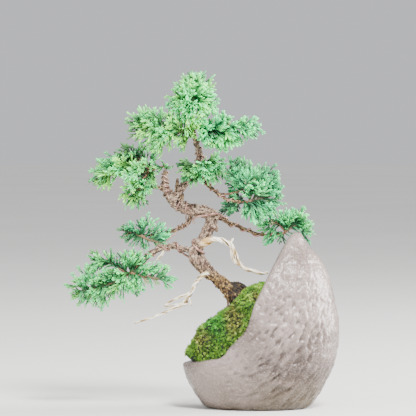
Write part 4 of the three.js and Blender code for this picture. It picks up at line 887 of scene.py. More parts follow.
def bark_and_dead_wood():
    """Juniper bark that flakes and cracks as it ages, and limbs stripped to bare wood and bleached.

    Flakes are pinkish grey, golden near the roots, with dark cracks that are partly painted shade; dead wood
    is cream with yellow grain."""
    material, tree, shader, place = new_material("juniper bark and dead wood", Roughness=0.8)
    grain = attribute(tree, "grain", "Vector")
    fibres = noise_field(tree, grain, 0.9, 4)
    patches = noise_field(tree, place, 4.5, 3)
    crumbs = noise_field(tree, place, 0.8, 3)
    # cracks darker and crests lighter: partly the bark's own colour, partly painted light and shade
    crest = plus(tree, times(tree, attribute(tree, "ridge"), 0.6), times(tree, crumbs, 0.5))
    bark = ramp(tree, crest, (0.3, "1a100b"), (0.42, "4e3b2e"), (0.58, "786353"), (0.8, "b39d88"))
    bark = blended(tree, spread(tree, patches, 0.5, 0.66, 0.0, 0.45), bark, "7a5849")
    golden = ramp(tree, crest, (0.38, "120a04"), (0.5, "3c2812"), (0.64, "6c5026"), (0.84, "b2965c"))
    bark = blended(tree, times(tree, attribute(tree, "golden"), 0.95), bark, golden)
    # the root mass darker: partly its own earthy colour, partly painted shade on the trunk's low right side
    bark = blended(tree, times(tree, attribute(tree, "earthy"), 0.95), bark, "1a110b")
    # grooves between the strands darker and their crests paler: partly weathering, partly painted light and
    # shade
    weathering_and_groove_shade = plus(tree, times(tree, attribute(tree, "strand"), 0.6), times(tree, fibres, 0.4))
    dead = ramp(tree, weathering_and_groove_shade, (0.26, "4a3824"), (0.38, "a3875a"), (0.5, "dccca6"), (0.66, "f8f4ea"))
    dead = blended(tree, spread(tree, patches, 0.52, 0.7, 0.0, 0.45), dead, "c8a45a")
    dead = blended(tree, attribute(tree, "fresh"), dead, "b98d42")
    colour = blended(tree, attribute(tree, "dead"), bark, dead)
    # painted shade in the bark's hollows
    colour = blended(tree, attribute(tree, "hollow"), colour, "1d130d")
    tree.links.new(colour, shader.inputs["Base Color"])
    relief(tree, shader, crumbs, 0.2)
    return material


def living_foliage():
    """Scale-leaved juniper branchlets: overlapping green scales with a thin waxy bloom.

    Tips are lighter and yellower than the shaded green further in, partly as painted highlight, and the
    oldest stems are brown."""
    material, tree, shader, place = new_material("juniper scale leaves", Roughness=0.6, IOR=1.45)
    warmth = attribute(tree, "warmth")
    clumps = noise_field(tree, place, 14, 1)
    mixed = plus(tree, warmth, spread(tree, clumps, 0.3, 0.7, -0.2, 0.2))
    green = ramp(tree, mixed, (0.0, "18603e"), (0.5, "24743a"), (1.0, "48882c"))
    light = ramp(tree, mixed, (0.0, "46ec8c"), (0.5, "74fc8c"), (1.0, "b4ff62"))
    tip = attribute(tree, "tip")
    # tips lighter, partly the paler new growth and partly painted highlight; the sprigs' bases are painted
    # dark as shade
    colour = blended(tree, spread(tree, tip, 0.35, 1.0), green, light)
    colour = blended(tree, spread(tree, tip, 0.44, 0.1, 0.0, 0.95), colour, "081e12")
    colour = blended(tree, attribute(tree, "shade"), colour, "0a2a1a")
    colour = blended(tree, attribute(tree, "woody"), colour, "8f6b50")
    tree.links.new(colour, shader.inputs["Base Color"])
    scales = noise_field(tree, place, 0.8, 2)
    relief(tree, shader, scales, 0.06)
    return material


def living_moss():
    """Cushion moss: star-shaped tufts of soft pointed leaves.

    Fresh tufts are bright green to yellow green, and dry ones between them olive and brown; creases and the
    tufts' feet are painted shade."""
    material, tree, shader, place = new_material("cushion moss", Roughness=0.85)
    patches = noise_field(tree, place, 6, 2)
    tint = attribute(tree, "tint")
    mixed = plus(tree, times(tree, tint, 0.55), spread(tree, patches, 0.3, 0.7, 0.0, 0.45))
    fresh = ramp(tree, mixed, (0.0, "28500e"), (0.35, "4c7e16"), (0.65, "6f9e24"), (1.0, "a6c448"))
    vivid = ramp(tree, tint, (0.0, "1a5c14"), (0.5, "2f8a20"), (1.0, "58b438"))
    dry = ramp(tree, tint, (0.0, "2e2410"), (0.4, "6b6424"), (0.8, "9aa040"), (1.0, "cfd27a"))
    fresh = blended(tree, attribute(tree, "vivid"), fresh, vivid)
    fresh = blended(tree, attribute(tree, "dry"), fresh, dry)
    # painted shade in the creases between the clumps
    fresh = blended(tree, times(tree, attribute(tree, "crease"), 0.9), fresh, "141c08")
    # painted shade: darker down the tufts and on the cushion between them
    colour = blended(tree, spread(tree, attribute(tree, "tip"), 0.0, 0.7), "101c08", fresh)
    tree.links.new(colour, shader.inputs["Base Color"])
    relief(tree, shader, noise_field(tree, place, 0.8, 2), 0.2)
    return material


def fired_clay_soil():
    """Bonsai soil of small fired-clay grains, 2 to 3 mm across, in damp browns."""
    material, tree, shader, place = new_material("fired clay soil", Roughness=0.95)
    grains = add(tree, "ShaderNodeTexVoronoi", {"Vector": place, "Scale": lumps(2.6)})
    colour = ramp(tree, grains.outputs["Color"], (0.2, "4a2f1c"), (0.5, "75492c"), (0.85, "9a6f48"))
    tree.links.new(colour, shader.inputs["Base Color"])
    relief(tree, shader, spread(tree, grains.outputs["Distance"], 0.0, 0.6, 1.0, 0.0), 0.9)
    return material


def moulded_mesh():
    """Polyethylene drainage mesh, moulded dark green, with a slight gloss on its bars."""
    material, tree, shader, place = new_material("moulded polyethylene", Roughness=0.5, IOR=1.5)
    colour = ramp(tree, noise_field(tree, place, 3, 2), (0.3, "17281c"), (0.7, "24402d"))
    tree.links.new(colour, shader.inputs["Base Color"])
    relief(tree, shader, noise_field(tree, place, 0.8, 2), 0.05)
    return material


def anodised_wire():
    """Soft aluminium wire, drawn and anodised brown for bonsai.

    It shines like dull copper, paler where pliers and bends have rubbed it."""
    material, tree, shader, place = new_material("anodised aluminium wire", Metallic=0.6, Roughness=0.42)
    rubbed = noise_field(tree, place, 2.5, 3)
    colour = ramp(tree, rubbed, (0.3, "7d5a4e"), (0.55, "a78376"), (0.8, "cfb2a6"))
    tree.links.new(colour, shader.inputs["Base Color"])
    tree.links.new(spread(tree, rubbed, 0.3, 0.7, 0.36, 0.5), shader.inputs["Roughness"])
    relief(tree, shader, noise_field(tree, place, 0.5, 2), 0.03)
    return material


def pale_floor():
    """Matte painted studio floor, off white."""
    material, tree, shader, place = new_material("matte studio floor", Roughness=0.9)
    colour = ramp(tree, noise_field(tree, place, 300, 2), (0.3, "dcdad6"), (0.7, "e2e0dc"))
    tree.links.new(colour, shader.inputs["Base Color"])
    return material


# Studio
def make_studio():
    """The camera at its low frontal angle, a pale floor, three soft lamps and a wide ceiling light."""
    centre = Vector(VIEW_CENTRE) * MM
    lift, swing = math.radians(VIEW_ELEVATION), math.radians(VIEW_AZIMUTH)
    lens = bpy.data.cameras.new("camera")
    lens.lens = lens.sensor_width * VIEW_DISTANCE / FRAME_WIDTH
    lens.clip_end = 50
    camera = placed("camera", lens)
    away = Vector((math.sin(swing) * math.cos(lift), -math.cos(swing) * math.cos(lift), math.sin(lift)))
    camera.location = centre + away * VIEW_DISTANCE * MM
    camera.rotation_euler = (math.pi / 2 - lift, 0, swing)
    bpy.context.scene.camera = camera

    steps = 96
    rim = [(math.cos(a) * FLOOR_RADIUS / MM, math.sin(a) * FLOOR_RADIUS / MM, 0)
           for a in (2 * math.pi * i / steps for i in range(steps))]
    floor = placed("studio_floor", mesh_from("studio_floor", rim, [list(range(steps))]))
    floor.data.materials.append(pale_floor())

    for name, place, width, power in SOFTBOXES:
        lamp = bpy.data.lights.new(name, "AREA")
        lamp.size = width
        lamp.energy = power
        holder = placed(name, lamp)
        holder.location = place
        holder.rotation_euler = (centre - holder.location).to_track_quat("-Z", "Y").to_euler()

    ceiling = bpy.data.lights.new("ceiling_light", "SUN")
    ceiling.energy = CEILING_LIGHT[0]
    ceiling.angle = math.radians(CEILING_LIGHT[1])
    placed("ceiling_light", ceiling)

    world = bpy.data.worlds.new("studio air")
    world.use_nodes = True
    sky = world.node_tree.nodes["Background"]
    sky.inputs["Color"].default_value = linear("e9eaee")
    sky.inputs["Strength"].default_value = SKY_LIGHT
    bpy.context.scene.world = world


# Pot
def boulder(inset, sides, steps, bottom, top):
    """The egg-shaped boulder as a closed mesh; inset shrinks it for the hollow."""
    levels = np.linspace(0, 1, steps + 1)
    angles = np.linspace(0, 2 * np.pi, sides, endpoint=False)
    ribs = row_at(POT_RIBS, levels)
    points = []
    for height, left, right, depth in ribs:
        z = bottom + (top - bottom) * height / POT_HEIGHT
        for angle in angles:
            x = (left + right) / 2 + ((right - left) / 2 - inset) * math.cos(angle)
            points.append((x, -(depth - inset) * math.sin(angle), z))
    points += [(0, 0, bottom), (float(ribs[-1][1:3].mean()), 0, top)]
    faces = []
    for i in range(steps):
        for j in range(sides):
            k = (j + 1) % sides
            faces.append((i * sides + k, i * sides + j, (i + 1) * sides + j, (i + 1) * sides + k))
    low, high = len(points) - 2, len(points) - 1
    for j in range(sides):
        k = (j + 1) % sides
        faces.append((j, k, low))
        faces.append((steps * sides + k, steps * sides + j, high))
    return mesh_from("boulder", points, faces)


def crescent_cutter():
    """A block whose underside is the rim, to be taken off the boulder."""
    rim = row_at(RIM, np.linspace(0, 1, 120))
    outline = [(x, z) for x, z in rim] + CUT_CORNERS
    count = len(outline)
    points = [(x, y, z) for y in (-CUT_DEPTH, CUT_DEPTH) for x, z in outline]
    faces = [list(range(count)), list(range(2 * count - 1, count - 1, -1))]
    faces += [(i, i + count, (i + 1) % count + count, (i + 1) % count) for i in range(count)]
    return outward(mesh_from("cutter", points, faces))


def drain_cutter():
    """A round bar through the floor, where the drain hole goes."""
    def bar(shape):
        bmesh.ops.create_cone(shape, cap_ends=True, segments=48, radius1=DRAIN_RADIUS * MM,
                              radius2=DRAIN_RADIUS * MM, depth=20 * MM)
        bmesh.ops.translate(shape, verts=shape.verts, vec=(DRAIN_X * MM, 0, 0))
    return reworked(bpy.data.meshes.new("drain"), bar)


def crescent_run(points):
    """Places as seen from the crescent's inner side: distance out from it, run along it, and depth."""
    out, up = points[:, 0] - CRESCENT_CENTRE[0], points[:, 2] - CRESCENT_CENTRE[1]
    return np.column_stack([np.hypot(out, up), CRESCENT_RADIUS * np.arctan2(up, out), points[:, 1]])


def rim_distance(points):
    """Distance to the rim's line as seen from the front."""
    rim = row_at(RIM, np.linspace(0, 1, 100))
    return np.sqrt(((points[:, None, [0, 2]] - rim[None]) ** 2).sum(2)).min(1)


def make_pot(material):
    """The crescent pot, with its rim rounded and its outside beaten and pitted."""
    shell = outward(boulder(DENT_ROOM, 160, 120, 0, POT_HEIGHT - 0.3))
    hollow = outward(boulder(POT_WALL, 96, 80, POT_FLOOR, POT_FLOOR + CAVITY_HEIGHT))
    shell = cut(cut(cut(shell, hollow), crescent_cutter()), drain_cutter())
    shell.name = "crescent_pot"
    shell = smoothed(remeshed(shell, POT_VOXEL), RIM_ROUNDING)
    points, normals = points_of(shell)
    bent = crescent_run(points)
    broad = roughness_at(points, (17, 17, 15), 3.1)
    facets = roughness_at(points, (8, 8, 7), 7.7)
    bumps = roughness_at(bent, (2.1, 3.4, 2.8), 1.3)
    sunk = np.clip((-bumps - 0.12) / 0.35, 0, 1)
    away = np.hypot((points[:, 0] - BEATEN[0]) / BEATEN[2], (points[:, 2] - BEATEN[1]) / BEATEN[3])
    beaten = np.clip(1.3 - away, 0.12, 1)
    edge = np.clip(rim_distance(points) / 6.0, 0.0, 1.0)
    fine = roughness_at(bent, (1.5, 2.2, 1.8), 6.1)
    dents = 0.45 * fine * (0.4 + beaten) + 0.45 * facets + beaten * (1.7 * np.clip(bumps, 0, 1) - 1.15 * sunk)
    push = 0.5 * broad + (0.15 + 0.85 * edge) * dents
    is_standing = np.clip(points[:, 2] / 3.0, 0, 1)
    points += normals * (push * is_standing)[:, None]
    low, high = [np.array(corner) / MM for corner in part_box("pot")]
    points = np.clip(points, low, high)
    move_points(shell, points)
    # random clouds of the clay's colour, with clouds of painted light and shade on top
    tone = 0.5 + 0.5 * roughness_at(points, 20, 2.9)
    for x, z, reach, amount in POT_PAINTED_LIGHT:
        away = np.hypot(points[:, 0] - x, points[:, 2] - z) / reach
        tone += 0.5 * amount * np.exp(-away ** 2)
    # the bumps' crests are lighter, partly rubbed wear and partly painted highlight; the pits hold painted
    # shade
    rubbed = beaten * np.clip(bumps * 2.4, 0, 1) * edge
    store(shell, tone=np.clip(tone, 0, 1), hollow=beaten * sunk, rubbed=rubbed)
    finished("crescent_pot", shell, material, "stoneware", "pot")


# Wood
def sweep(rows, sides, spacing, points, faces, tip=0.55):
    """Adds a closed tapering tube along a limb."""
    rings = max(int(path_length(rows) / spacing), 4)
    centre, _, front, across, radius = limb_frames(rows, np.linspace(0, 1, rings + 1))
    radius = radius.copy()
    radius[-1] *= tip
    first = len(points)
    angles = np.linspace(0, 2 * np.pi, sides, endpoint=False)
    for c, f, a, r in zip(centre, front, across, radius):
        for angle in angles:
            points.append(c + r * (math.cos(angle) * f + math.sin(angle) * a))
    for i in range(rings):
        for j in range(sides):
            k = (j + 1) % sides
            low, high = first + i * sides, first + (i + 1) * sides
            faces.append((low + j, low + k, high + k, high + j))
    faces.append([first + j for j in range(sides)][::-1])
    faces.append([first + rings * sides + j for j in range(sides)])


def limb_samples():
    """Points along all the limbs, with what each limb is like there."""
    samples = {key: [] for key in ("centre", "along", "front", "across", "radius", "run", "is_dead")}
    for name, rows in LIMBS.items():
        count = max(int(path_length(rows) / SAMPLE_SPACING), 4)
        frames = limb_frames(rows, np.linspace(0, 1, count + 1))
        run = np.concatenate([[0], np.cumsum(np.linalg.norm(np.diff(frames[0], axis=0), axis=1))])
        is_dead = np.full(count + 1, name in DEAD_LIMBS)
        for key, values in zip(samples, (*frames, run, is_dead)):
            samples[key].append(values)
    return {key: np.concatenate(blocks) for key, blocks in samples.items()}


def nearest_limb(points, samples):
    """For each point: the nearest sample, and how much nearer dead wood is than living wood."""
    rows, deadness = np.zeros(len(points), int), np.zeros(len(points))
    is_dead = samples["is_dead"]
    for start in range(0, len(points), SAMPLE_BLOCK):
        block = slice(start, start + SAMPLE_BLOCK)
        depth = np.linalg.norm(points[block, None] - samples["centre"][None], axis=2) - samples["radius"]
        rows[block] = depth.argmin(1)
        deadness[block] = depth[:, ~is_dead].min(1) - depth[:, is_dead].min(1)
    return {key: values[rows] for key, values in samples.items()}, deadness


def add_chips(points, faces):
    """Loose flakes that lift from the bark of the thick limbs."""
    chance = random.Random(9)
    for _ in range(CHIP_COUNT):
        limb = LIMBS[chance.choice(CHIPPED_LIMBS)]
        u = chance.uniform(0.12, 0.9)
        centre, along, front, across, radius = [v[0] for v in limb_frames(limb, u)]
        angle = chance.uniform(0, 2 * math.pi)
        out = math.cos(angle) * front + math.sin(angle) * across
        size = chance.uniform(0.6, 1.3) * (1.25 if centre[2] < BIG_CHIPS_BELOW else 0.9)
        lifted = unit(along + out * chance.uniform(0.15, 0.6))
        thickness = unit(out - lifted * float(out @ lifted))
        side = np.cross(lifted, thickness)
        middle = centre + out * (radius * 1.02) + lifted * (0.3 * size)
        first = len(points)
        for a, b, c in ((x, y, z) for x in (-1, 1) for y in (-1, 1) for z in (-1, 1)):
            corner = a * CHIP[0] * side + b * CHIP[1] * thickness + c * CHIP[2] * lifted
            points.append(middle + size * corner)
        for face in ((0, 1, 3, 2), (4, 6, 7, 5), (0, 4, 5, 1), (2, 3, 7, 6), (0, 2, 6, 4), (1, 5, 7, 3)):
            faces.append([first + i for i in face])


def wood_skin():
    """Every limb, loose flake and knot under one closed skin."""
    points, faces = [], []
    for name, rows in LIMBS.items():
        sweep(rows, 18, 0.7, points, faces, 1.0 if name == "cut_stub" else 0.55)
    add_chips(points, faces)

    def add_knots(shape):
        for x, y, z, r in KNOTS:
            made = bmesh.ops.create_icosphere(shape, subdivisions=3, radius=r * MM)["verts"]
            bmesh.ops.scale(shape, verts=made, vec=(1, 0.8, 1))
            bmesh.ops.translate(shape, verts=made, vec=Vector((x, y, z)) * MM)

    skin = outward(reworked(mesh_from("tree_wood_bark", points, faces), add_knots))
    return smoothed(remeshed(skin, WOOD_VOXEL), 3, 0.4)


def in_hollows(points):
    """How deep each point lies in a dark hollow, from 0 at its edge to 1 well inside."""
    dark = np.zeros(len(points))
    for x, y, z, half_width, half_height in HOLLOWS:
        away = np.sqrt(((points[:, 0] - x) / half_width) ** 2 + ((points[:, 2] - z) / half_height) ** 2
                       + ((points[:, 1] - y) / HOLLOW_REACH) ** 2)
        dark = np.maximum(dark, np.clip(1.25 - away, 0, 1))
    return dark


def make_wood(material):
    """Roots, trunk, branches and dead wood as one skin, with peeling bark on what lives."""
    mesh = wood_skin()
    points, normals = points_of(mesh)
    near, deadness = nearest_limb(points, limb_samples())
    offset = points - near["centre"]
    angle = np.arctan2((offset * near["across"]).sum(1), (offset * near["front"]).sum(1))
    radius, run = near["radius"], near["run"] + (offset * near["along"]).sum(1)
    dead = np.clip(deadness / 0.9 + 0.35, 0, 1)
    twisted = angle + (0.05 + 0.2 * dead) * run + 0.5 * roughness_at(points, 7, 3.3)
    ring = np.column_stack([np.cos(twisted) * radius, np.sin(twisted) * radius])
    unrolled = np.column_stack([ring, run])
    flakes = roughness_at(unrolled, (BARK_FLAKE[0], *BARK_FLAKE), 4.2)
    crumbs = roughness_at(points, 0.75, 5.5)
    fissures = roughness_at(unrolled, (FISSURE[0], *FISSURE), 8.4)
    big = roughness_at(points, 4.2, 1.7)
    cracked = np.clip(1 - np.abs(fissures + 0.1) / 0.13, 0, 1) * np.clip(radius - 1, 0.2, 1)
    ridge = np.clip(0.55 + 0.55 * flakes + 0.5 * crumbs - 0.5 * cracked, 0, 1)
    is_low = np.clip((GOLDEN_BELOW[0] - points[:, 2]) / GOLDEN_BELOW[1], 0, 1) * (1 - dead)
    bark_height = np.minimum(BARK_RELIEF * (1 + 0.7 * is_low), 0.22 * radius) * (2 * ridge - 1)
    bark_height += 0.12 * radius * big
    strands = roughness_at(unrolled, (0.7, 0.7, 5.0), 2.2)
    dead_height = DEAD_SWELL + DEAD_RELIEF * strands + 0.2 * radius * big
    height = bark_height * (1 - dead) + dead_height * dead
    dark = in_hollows(points)
    points += normals * (height - HOLLOW_DEPTH * np.clip(1.6 * dark, 0, 1))[:, None]
    move_points(mesh, points)
    x, z = points[:, 0], points[:, 2]
    is_thin = np.clip((1.75 - radius) / 0.6, 0, 1) * (1 - dead)
    root_x, root_z, turn = ROOT_EDGE
    to_roots = np.clip((x - root_x) / turn, 0, 1) * np.clip((root_z - z) / turn, 0, 1)
    # hollows are painted dark as shade; roots darken partly as their own earth colour, partly as painted
    # shade
    store(
        mesh, grain=np.column_stack([ring, 0.22 * run]) * MM, ridge=ridge, dead=dead,
        fresh=np.clip((FRESH_EDGE[0] - x) / 4, 0, 0.7) * np.clip((z - FRESH_EDGE[1]) / 5, 0, 1),
        hollow=np.clip(2.2 * dark, 0, 1), strand=np.clip(0.5 + strands, 0, 1),
        golden=np.maximum(is_low, 0.75 * is_thin),
        earthy=to_roots * np.clip(0.8 + roughness_at(points, 2.4, 9.1), 0, 1),
    )
    finished("tree_wood_bark", mesh, material, "juniper_wood", "tree_wood")


# Wires
def stretches(rows, count):
    """Straight stretches along a limb, each with two ends and a radius."""
    centre = row_at(rows, np.linspace(0, 1, count + 1))
    radius = 0.5 * (centre[1:, 3] + centre[:-1, 3])
    return [(a, b, r) for a, b, r in zip(centre[:-1, :3], centre[1:, :3], radius)]


def helix(run, width):
    """A coil of wire round part of a limb."""
    limb, start_u, end_u, turns, start = run
    count = round(abs(turns) * 12)
    t = np.linspace(0, 1, count + 1)
    centre, _, front, across, radius = limb_frames(LIMBS[limb], start_u + (end_u - start_u) * t)
    angle = math.radians(start) + t * turns * 2 * np.pi
    reach = radius * 1.05 + width + WIRE_GAP
    return centre + front * (reach * np.cos(angle))[:, None] + across * (reach * np.sin(angle))[:, None]


def pushed_clear(points, width, taken):
    """Moves points out of every stretch that they are too close to."""
    a = np.array([s[0] for s in taken])
    b = np.array([s[1] for s in taken])
    room = np.array([s[2] for s in taken]) + width + WIRE_GAP
    ab = b - a
    for _ in range(14):
        for i, p in enumerate(points):
            t = np.clip(((p - a) * ab).sum(1) / np.maximum((ab * ab).sum(1), 1e-9), 0, 1)
            away = p - (a + ab * t[:, None])
            distance = np.linalg.norm(away, axis=1)
            short = room - distance
            worst = short.argmax()
            if short[worst] > 0:
                points[i] = p + away[worst] / max(distance[worst], 1e-6) * short[worst]
    return points


def make_wires(material):
    """Training wires in coils round their limbs."""
    tubes = stem_rule()
    taken = []
    for rows in LIMBS.values():
        taken += stretches(rows, 2 * len(rows))
    taken += [(np.array((x, y, z), float), np.array((x, y + 0.1, z), float), r) for x, y, z, r in KNOTS]
    for name, (width, runs) in WIRES.items():
        path = []
        for run in runs:
            stretch = np.array(run, float) if isinstance(run, list) else helix(run, width)
            if path:
                gap = stretch[0] - path[-1]
                count = int(np.linalg.norm(gap) / 3)
                path += [path[-1] + gap * i / (count + 1) for i in range(1, count + 1)]
            path += list(stretch)
        path = pushed_clear(np.array(path), width, taken)
        taken += [(p, q, width) for p, q in zip(path[:-1], path[1:])]
        fine = row_at(path, np.linspace(0, 1, 4 * len(path)))
        edges = [(i, i + 1) for i in range(len(fine) - 1)]
        mesh = mesh_from(name, fine, [], edges)
        radius = np.full(len(fine), width * MM)
        radius[[0, -1]] *= 0.7
        store(mesh, width=radius)
        tube = grown(mesh, tubes, {"Sides": 10, "Material": material})
        finished(name + "_coil", tube, material, "training_wire", name)


# Foliage
def add_cord(start, direction, length, width, points, faces, tips, tip_range):
    """Adds a closed cord of overlapping scales, its rings wide and narrow by turns."""
    direction = direction.normalized()
    side = direction.cross(Vector((0.3, 1, 0.2))).normalized()
    other = direction.cross(side)
    rings = max(round(length / SCALE_PITCH), 2)
    first = len(points)
    for i in range(rings + 1):
        t = i / rings
        reach = 0.5 * width * (1.0 if i % 2 else 0.93) * (0.9 if i == rings else 1)
        for k in range(4):
            angle = math.pi / 2 * k + math.pi / 4
            points.append(start + direction * (length * 0.94 * t) + side * (reach * math.cos(angle))
                          + other * (reach * math.sin(angle)))
            tips.append(tip_range[0] + (tip_range[1] - tip_range[0]) * t)
    for i in range(rings):
        for k in range(4):
            n = (k + 1) % 4
            low, high = first + 4 * i, first + 4 * i + 4
            faces.append((low + k, low + n, high + n, high + k))
    points.append(start + direction * length)
    tips.append(tip_range[1])
    last = first + 4 * rings
    for k in range(4):
        faces.append((last + k, last + (k + 1) % 4, len(points) - 1))
    faces.append((first + 3, first + 2, first + 1, first))


def sprig_mesh(number):
    """A sprig along +Z: one cord with smaller ones left and right in the YZ plane, in millimetres."""
    chance = random.Random(40 + number)
    points, faces, tips = [], [], []
    bend = Vector((0, chance.uniform(-0.1, 0.1), 1))
    add_cord(Vector((0, 0, -0.2)), bend, SPRIG_LENGTH, CORD_WIDTH, points, faces, tips, (0.1, 1.0))
    for i in range((3, 2, 3, 1)[number]):
        hand = 1 if (i + number) % 2 else -1
        start = bend * (SPRIG_LENGTH * (0.2 + 0.21 * i))
        lean = Vector((chance.uniform(-0.15, 0.15), hand * chance.uniform(0.45, 0.62), 1))
        length = SPRIG_LENGTH * (0.48 - 0.07 * i) * chance.uniform(0.85, 1.15)
        add_cord(start, lean, length, CORD_WIDTH * 0.92, points, faces, tips, (0.3, 1.0))
    mesh = outward(mesh_from(f"sprig_{number}", points, faces))
    store(mesh, tip=tips)
    return mesh


def kit(name, meshes):
    """A collection of small parts for a rule to pick from."""
    box = bpy.data.collections.new(name)
    for mesh in meshes:
        box.objects.link(bpy.data.objects.new(mesh.name, mesh))
    return box


def discard(box):
    for thing in list(box.objects):
        bpy.data.objects.remove(thing)
    bpy.data.collections.remove(box)


def nearest_on(spines, tip):
    """The spine point nearest to a tip: the spine, the place along it and the point."""
    best = None
    for spine in spines:
        samples = row_at(spine, np.linspace(0, 1, 25))
        away = np.linalg.norm(samples - np.array(tip), axis=1)
        i = int(away.argmin())
        if best is None or away[i] < best[0]:
            best = (away[i], spine, i / 24, samples[i])
    return best


def half_depth(x, z):
    """Half the depth of the pot's boulder at x and z, with room round it."""
    ribs = np.array(POT_RIBS)
    left, right, depth = [np.interp(z, ribs[:, 0], ribs[:, c]) for c in (1, 2, 3)]
    inside = 1 - ((x - (left + right) / 2) / ((right - left) / 2 + POT_ROOM)) ** 2
    return math.sqrt(max(inside, 0)) * (depth + POT_ROOM)


def is_in_pot(point):
    """Whether a point lies inside the pot or so close that leaves there would touch it."""
    return point[2] < POT_HEIGHT + 2 and abs(point[1]) < half_depth(point[0], point[2]) + 1.5


def frond_paths(spray):
    """Main lines of a spray's fronds: those to its outer tips, and more that fill it."""
    chance = random.Random(spray["seed"])
    centre, along, _, _, _ = limb_frames(LIMBS[spray["limb"]], 1.0)
    limb_end = [tuple(centre[0] + along[0] * past) for past in SPINE_START]
    main = [*limb_end, *spray["spines"][0]]
    spines = [np.array(s, float) for s in [main, *spray["spines"][1:]]]
    tips = [np.array(t, float) for t in spray["tips"]]
    wanted = list(tips)
    while len(wanted) < len(tips) + spray["fill"]:
        outer = chance.choice(tips)
        beside = sorted(tips, key=lambda t: np.linalg.norm(t - outer))[chance.randint(1, 4) % len(tips)]
        outer = outer + (beside - outer) * chance.uniform(0.1, 0.55)
        base = nearest_on(spines, outer)[3]
        shift = np.array([chance.gauss(0, stray) for stray in FILL_STRAY])
        wanted.append(base + (outer - base) * chance.uniform(0.5, 1.0) + shift)
    paths = []
    for number, tip in enumerate(wanted):
        distance, spine, u, _ = nearest_on(spines, tip)
        length = np.linalg.norm(spine[-1] - spine[0])
        root = row_at(spine, max(u - 0.55 * distance / length, 0.08))[0]
        reach = np.linalg.norm(tip - root)
        if reach < 4 or is_in_pot(tip) or is_in_pot((tip + root) / 2):
            continue
        end = tip - (tip - root) / reach * min(TIP_SPRIG, 0.45 * reach)
        t = np.linspace(0, 1, 7)[:, None]
        line = root + (end - root) * t
        bow = reach * 4 * t * (1 - t)
        line[:, 2] += FROND_ARCH * bow[:, 0]
        aside = unit(np.cross(end - root, (0, 1, 0)))
        line += aside * chance.uniform(-FROND_SWAY, FROND_SWAY) * bow
        paths.append({"line": line, "is_outer": number < len(tips), "reach": reach})
    return spines, paths, chance


def frond_face(line, chance, depth):
    """The direction that a frond's flat side looks in: mostly outwards and a little up."""
    outwards = -1.0 if depth < 4 else 1.0
    out = outwards * chance.uniform(0.7, 1.2)
    face = np.array((chance.uniform(-0.35, 0.35), out, chance.uniform(-0.2, 0.5)))
    along = unit(line[-1] - line[0])
    return unit(face - along * float(face @ along))


def add_stem(stem, line, values_at):
    """Adds a line of linked points to a stem, each with the values of its place along the line."""
    points, edges, rows = stem
    for i, p in enumerate(line):
        if i:
            edges.append((len(points) - 1, len(points)))
        points.append(p)
        rows.append(values_at(i / (len(line) - 1)))


def add_spine(stem, spine, warmth, chance):
    """Adds a woody spine, brown at its base and greener to its tip."""
    line = row_at(spine, np.linspace(0, 1, 4 * len(spine)))
    face = frond_face(line, chance, 0)
    add_stem(stem, line, lambda t: {
        "face": face, "width": (1.0 - 0.42 * t) * MM, "reach": 0.9, "bare": 0.35, "woody": 1.0 - 0.75 * t,
        "tip": 0.25 * t, "warmth": warmth, "shade": 0.2,
    })


def add_frond(stem, path, warmth, behind, chance):
    """Adds a frond with painted shade, darker in the middle of its spray, behind it and in cool sprays."""
    line, reach = path["line"], path["reach"]
    face = frond_face(line, chance, line[-1][1])
    shade = (0.06 if path["is_outer"] else 0.42) + 0.08 * min(behind, 16 - behind)
    shade += 0.8 * max(0.4 - warmth, 0)
    warmth += chance.uniform(-0.25, 0.25) + (0.25 if line[-1][0] < YELLOW_PAST else 0)
    shade = min(max(shade + chance.uniform(-0.15, 0.25), 0), 0.9)
    scale = min(max(reach / 13, 0.68), 1.08) * chance.uniform(0.9, 1.1)
    add_stem(stem, line, lambda t: {
        "face": face, "width": (0.66 - 0.14 * t) * MM, "reach": scale, "bare": 0.1,
        "woody": max(0.45 - 3 * t, 0) * (reach > 9), "tip": 0.2 + 0.4 * t, "warmth": warmth, "shade": shade,
    })


def make_foliage(material):
    """Each leafy stem as one piece: brown spines, and fronds of scale-leaved sprigs on them."""
    sprigs = kit("sprigs", [sprig_mesh(i) for i in range(SPRIG_KINDS)])
    fronds = frond_rule()
    low, high = [np.array(corner) / MM for corner in cad_box]
    for name, spray in SPRAYS.items():
        spines, paths, chance = frond_paths(spray)
        stem = points, edges, rows = [], [], []
        for spine in spines:
            add_spine(stem, spine, spray["warmth"], chance)
        for path in paths:
            behind = path["line"][-1][1] - spines[0][-1][1]
            add_frond(stem, path, spray["warmth"], behind, chance)
        mesh = mesh_from(name + "_leaves", points, [], edges)
        store(mesh, **{key: [row[key] for row in rows] for key in rows[0]})
        leaves = grown(mesh, fronds, {
            "Spacing": SPRIG_SPACING * MM, "Opening": math.radians(SPRIG_OPENING), "Sprigs": sprigs,
            "Seed": spray["seed"], "Material": material,
        })
        points, _ = points_of(leaves)
        move_points(leaves, np.clip(points, low, high))
        finished(name + "_leaves", leaves, material, "juniper_foliage", name)
    discard(sprigs)


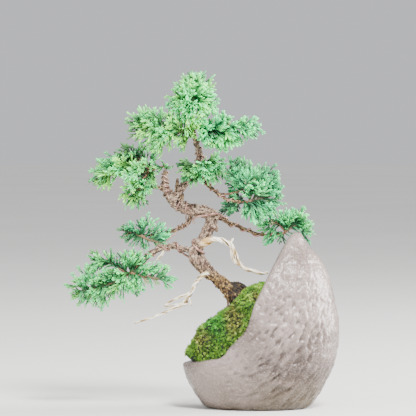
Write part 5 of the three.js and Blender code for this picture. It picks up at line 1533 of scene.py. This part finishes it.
# Moss
def tuft_mesh(number):
    """A star of seven pointed leaves round an upright one."""
    chance = random.Random(70 + number)
    points, faces, tips = [], [], []
    for i in range(TUFT_LEAVES + 1):
        angle = 2 * math.pi * i / TUFT_LEAVES + chance.uniform(-0.3, 0.3)
        open_by = 0.0 if i == TUFT_LEAVES else chance.uniform(0.45, 1.1)
        out = Vector((math.cos(angle) * open_by, math.sin(angle) * open_by, 1)).normalized()
        length = TUFT_HEIGHT * chance.uniform(0.7, 1.1)
        side = out.cross(Vector((math.cos(angle + 1), math.sin(angle + 1), 0.1))).normalized()
        other = out.cross(side)
        first = len(points)
        for k in range(3):
            turn = 2 * math.pi * k / 3
            points.append(out * 0.1 * length - UP * 0.35
                          + (side * math.cos(turn) + other * math.sin(turn)) * 0.44)
            tips.append(0.15)
        points.append(out * length)
        tips.append(1.0)
        faces += [(first, first + 1, first + 3), (first + 1, first + 2, first + 3),
                  (first + 2, first, first + 3), (first + 2, first + 1, first)]
    mesh = outward(mesh_from(f"tuft_{number}", points, faces))
    store(mesh, tip=tips)
    return mesh


def make_moss(material):
    """The cushion, lumpy underneath and covered in tufts where it is open to the air."""
    cushion = merged_copy("moss")
    cushion.name = "moss_cushion"
    cushion = smoothed(remeshed(cushion, MOSS_VOXEL), 2)
    points, normals = points_of(cushion)
    is_open = (normals @ np.array(OPEN_SIDE) > 0.1).astype(float)
    clumps = np.abs(roughness_at(points, MOSS_CLUMP, 2.0))
    swell = 1.6 * np.minimum(clumps / 0.3, 1) + 0.5 * roughness_at(points, 2.2, 5.0) - MOSS_SINK
    points += normals * (swell * is_open)[:, None]
    move_points(cushion, points)
    # the creases between clumps carry painted shade
    store(cushion, open=is_open, crease=np.clip(1 - clumps / 0.15, 0, 1), tip=np.zeros(len(points)))
    for zone, patches in MOSS_ZONES.items():
        share = np.zeros(len(points))
        for x, z, wide, high in patches:
            away = np.hypot((points[:, 0] - x) / wide, (points[:, 2] - z) / high)
            share = np.maximum(share, np.clip(1.7 - 1.3 * away + roughness_at(points, 3.5, 6.6), 0, 1))
        store(cushion, **{zone: 0.9 * share})
    tufts = kit("tufts", [tuft_mesh(i) for i in range(TUFT_KINDS)])
    moss = grown(cushion, moss_rule(), {
        "Spacing": TUFT_SPACING * MM, "Tufts": tufts, "Seed": 5, "Material": material,
    })
    discard(tufts)
    finished("moss_cushion", moss, material, "moss", "moss")


make_studio()
make_pot(stoneware())
make_wood(bark_and_dead_wood())
make_wires(anodised_wire())
make_foliage(living_foliage())
make_moss(living_moss())
for node_name, finish in (("soil", fired_clay_soil()), ("drainage_mesh", moulded_mesh())):
    kept = frame["nodes"][node_name].data
    kept.materials.clear()
    kept.materials.append(finish)
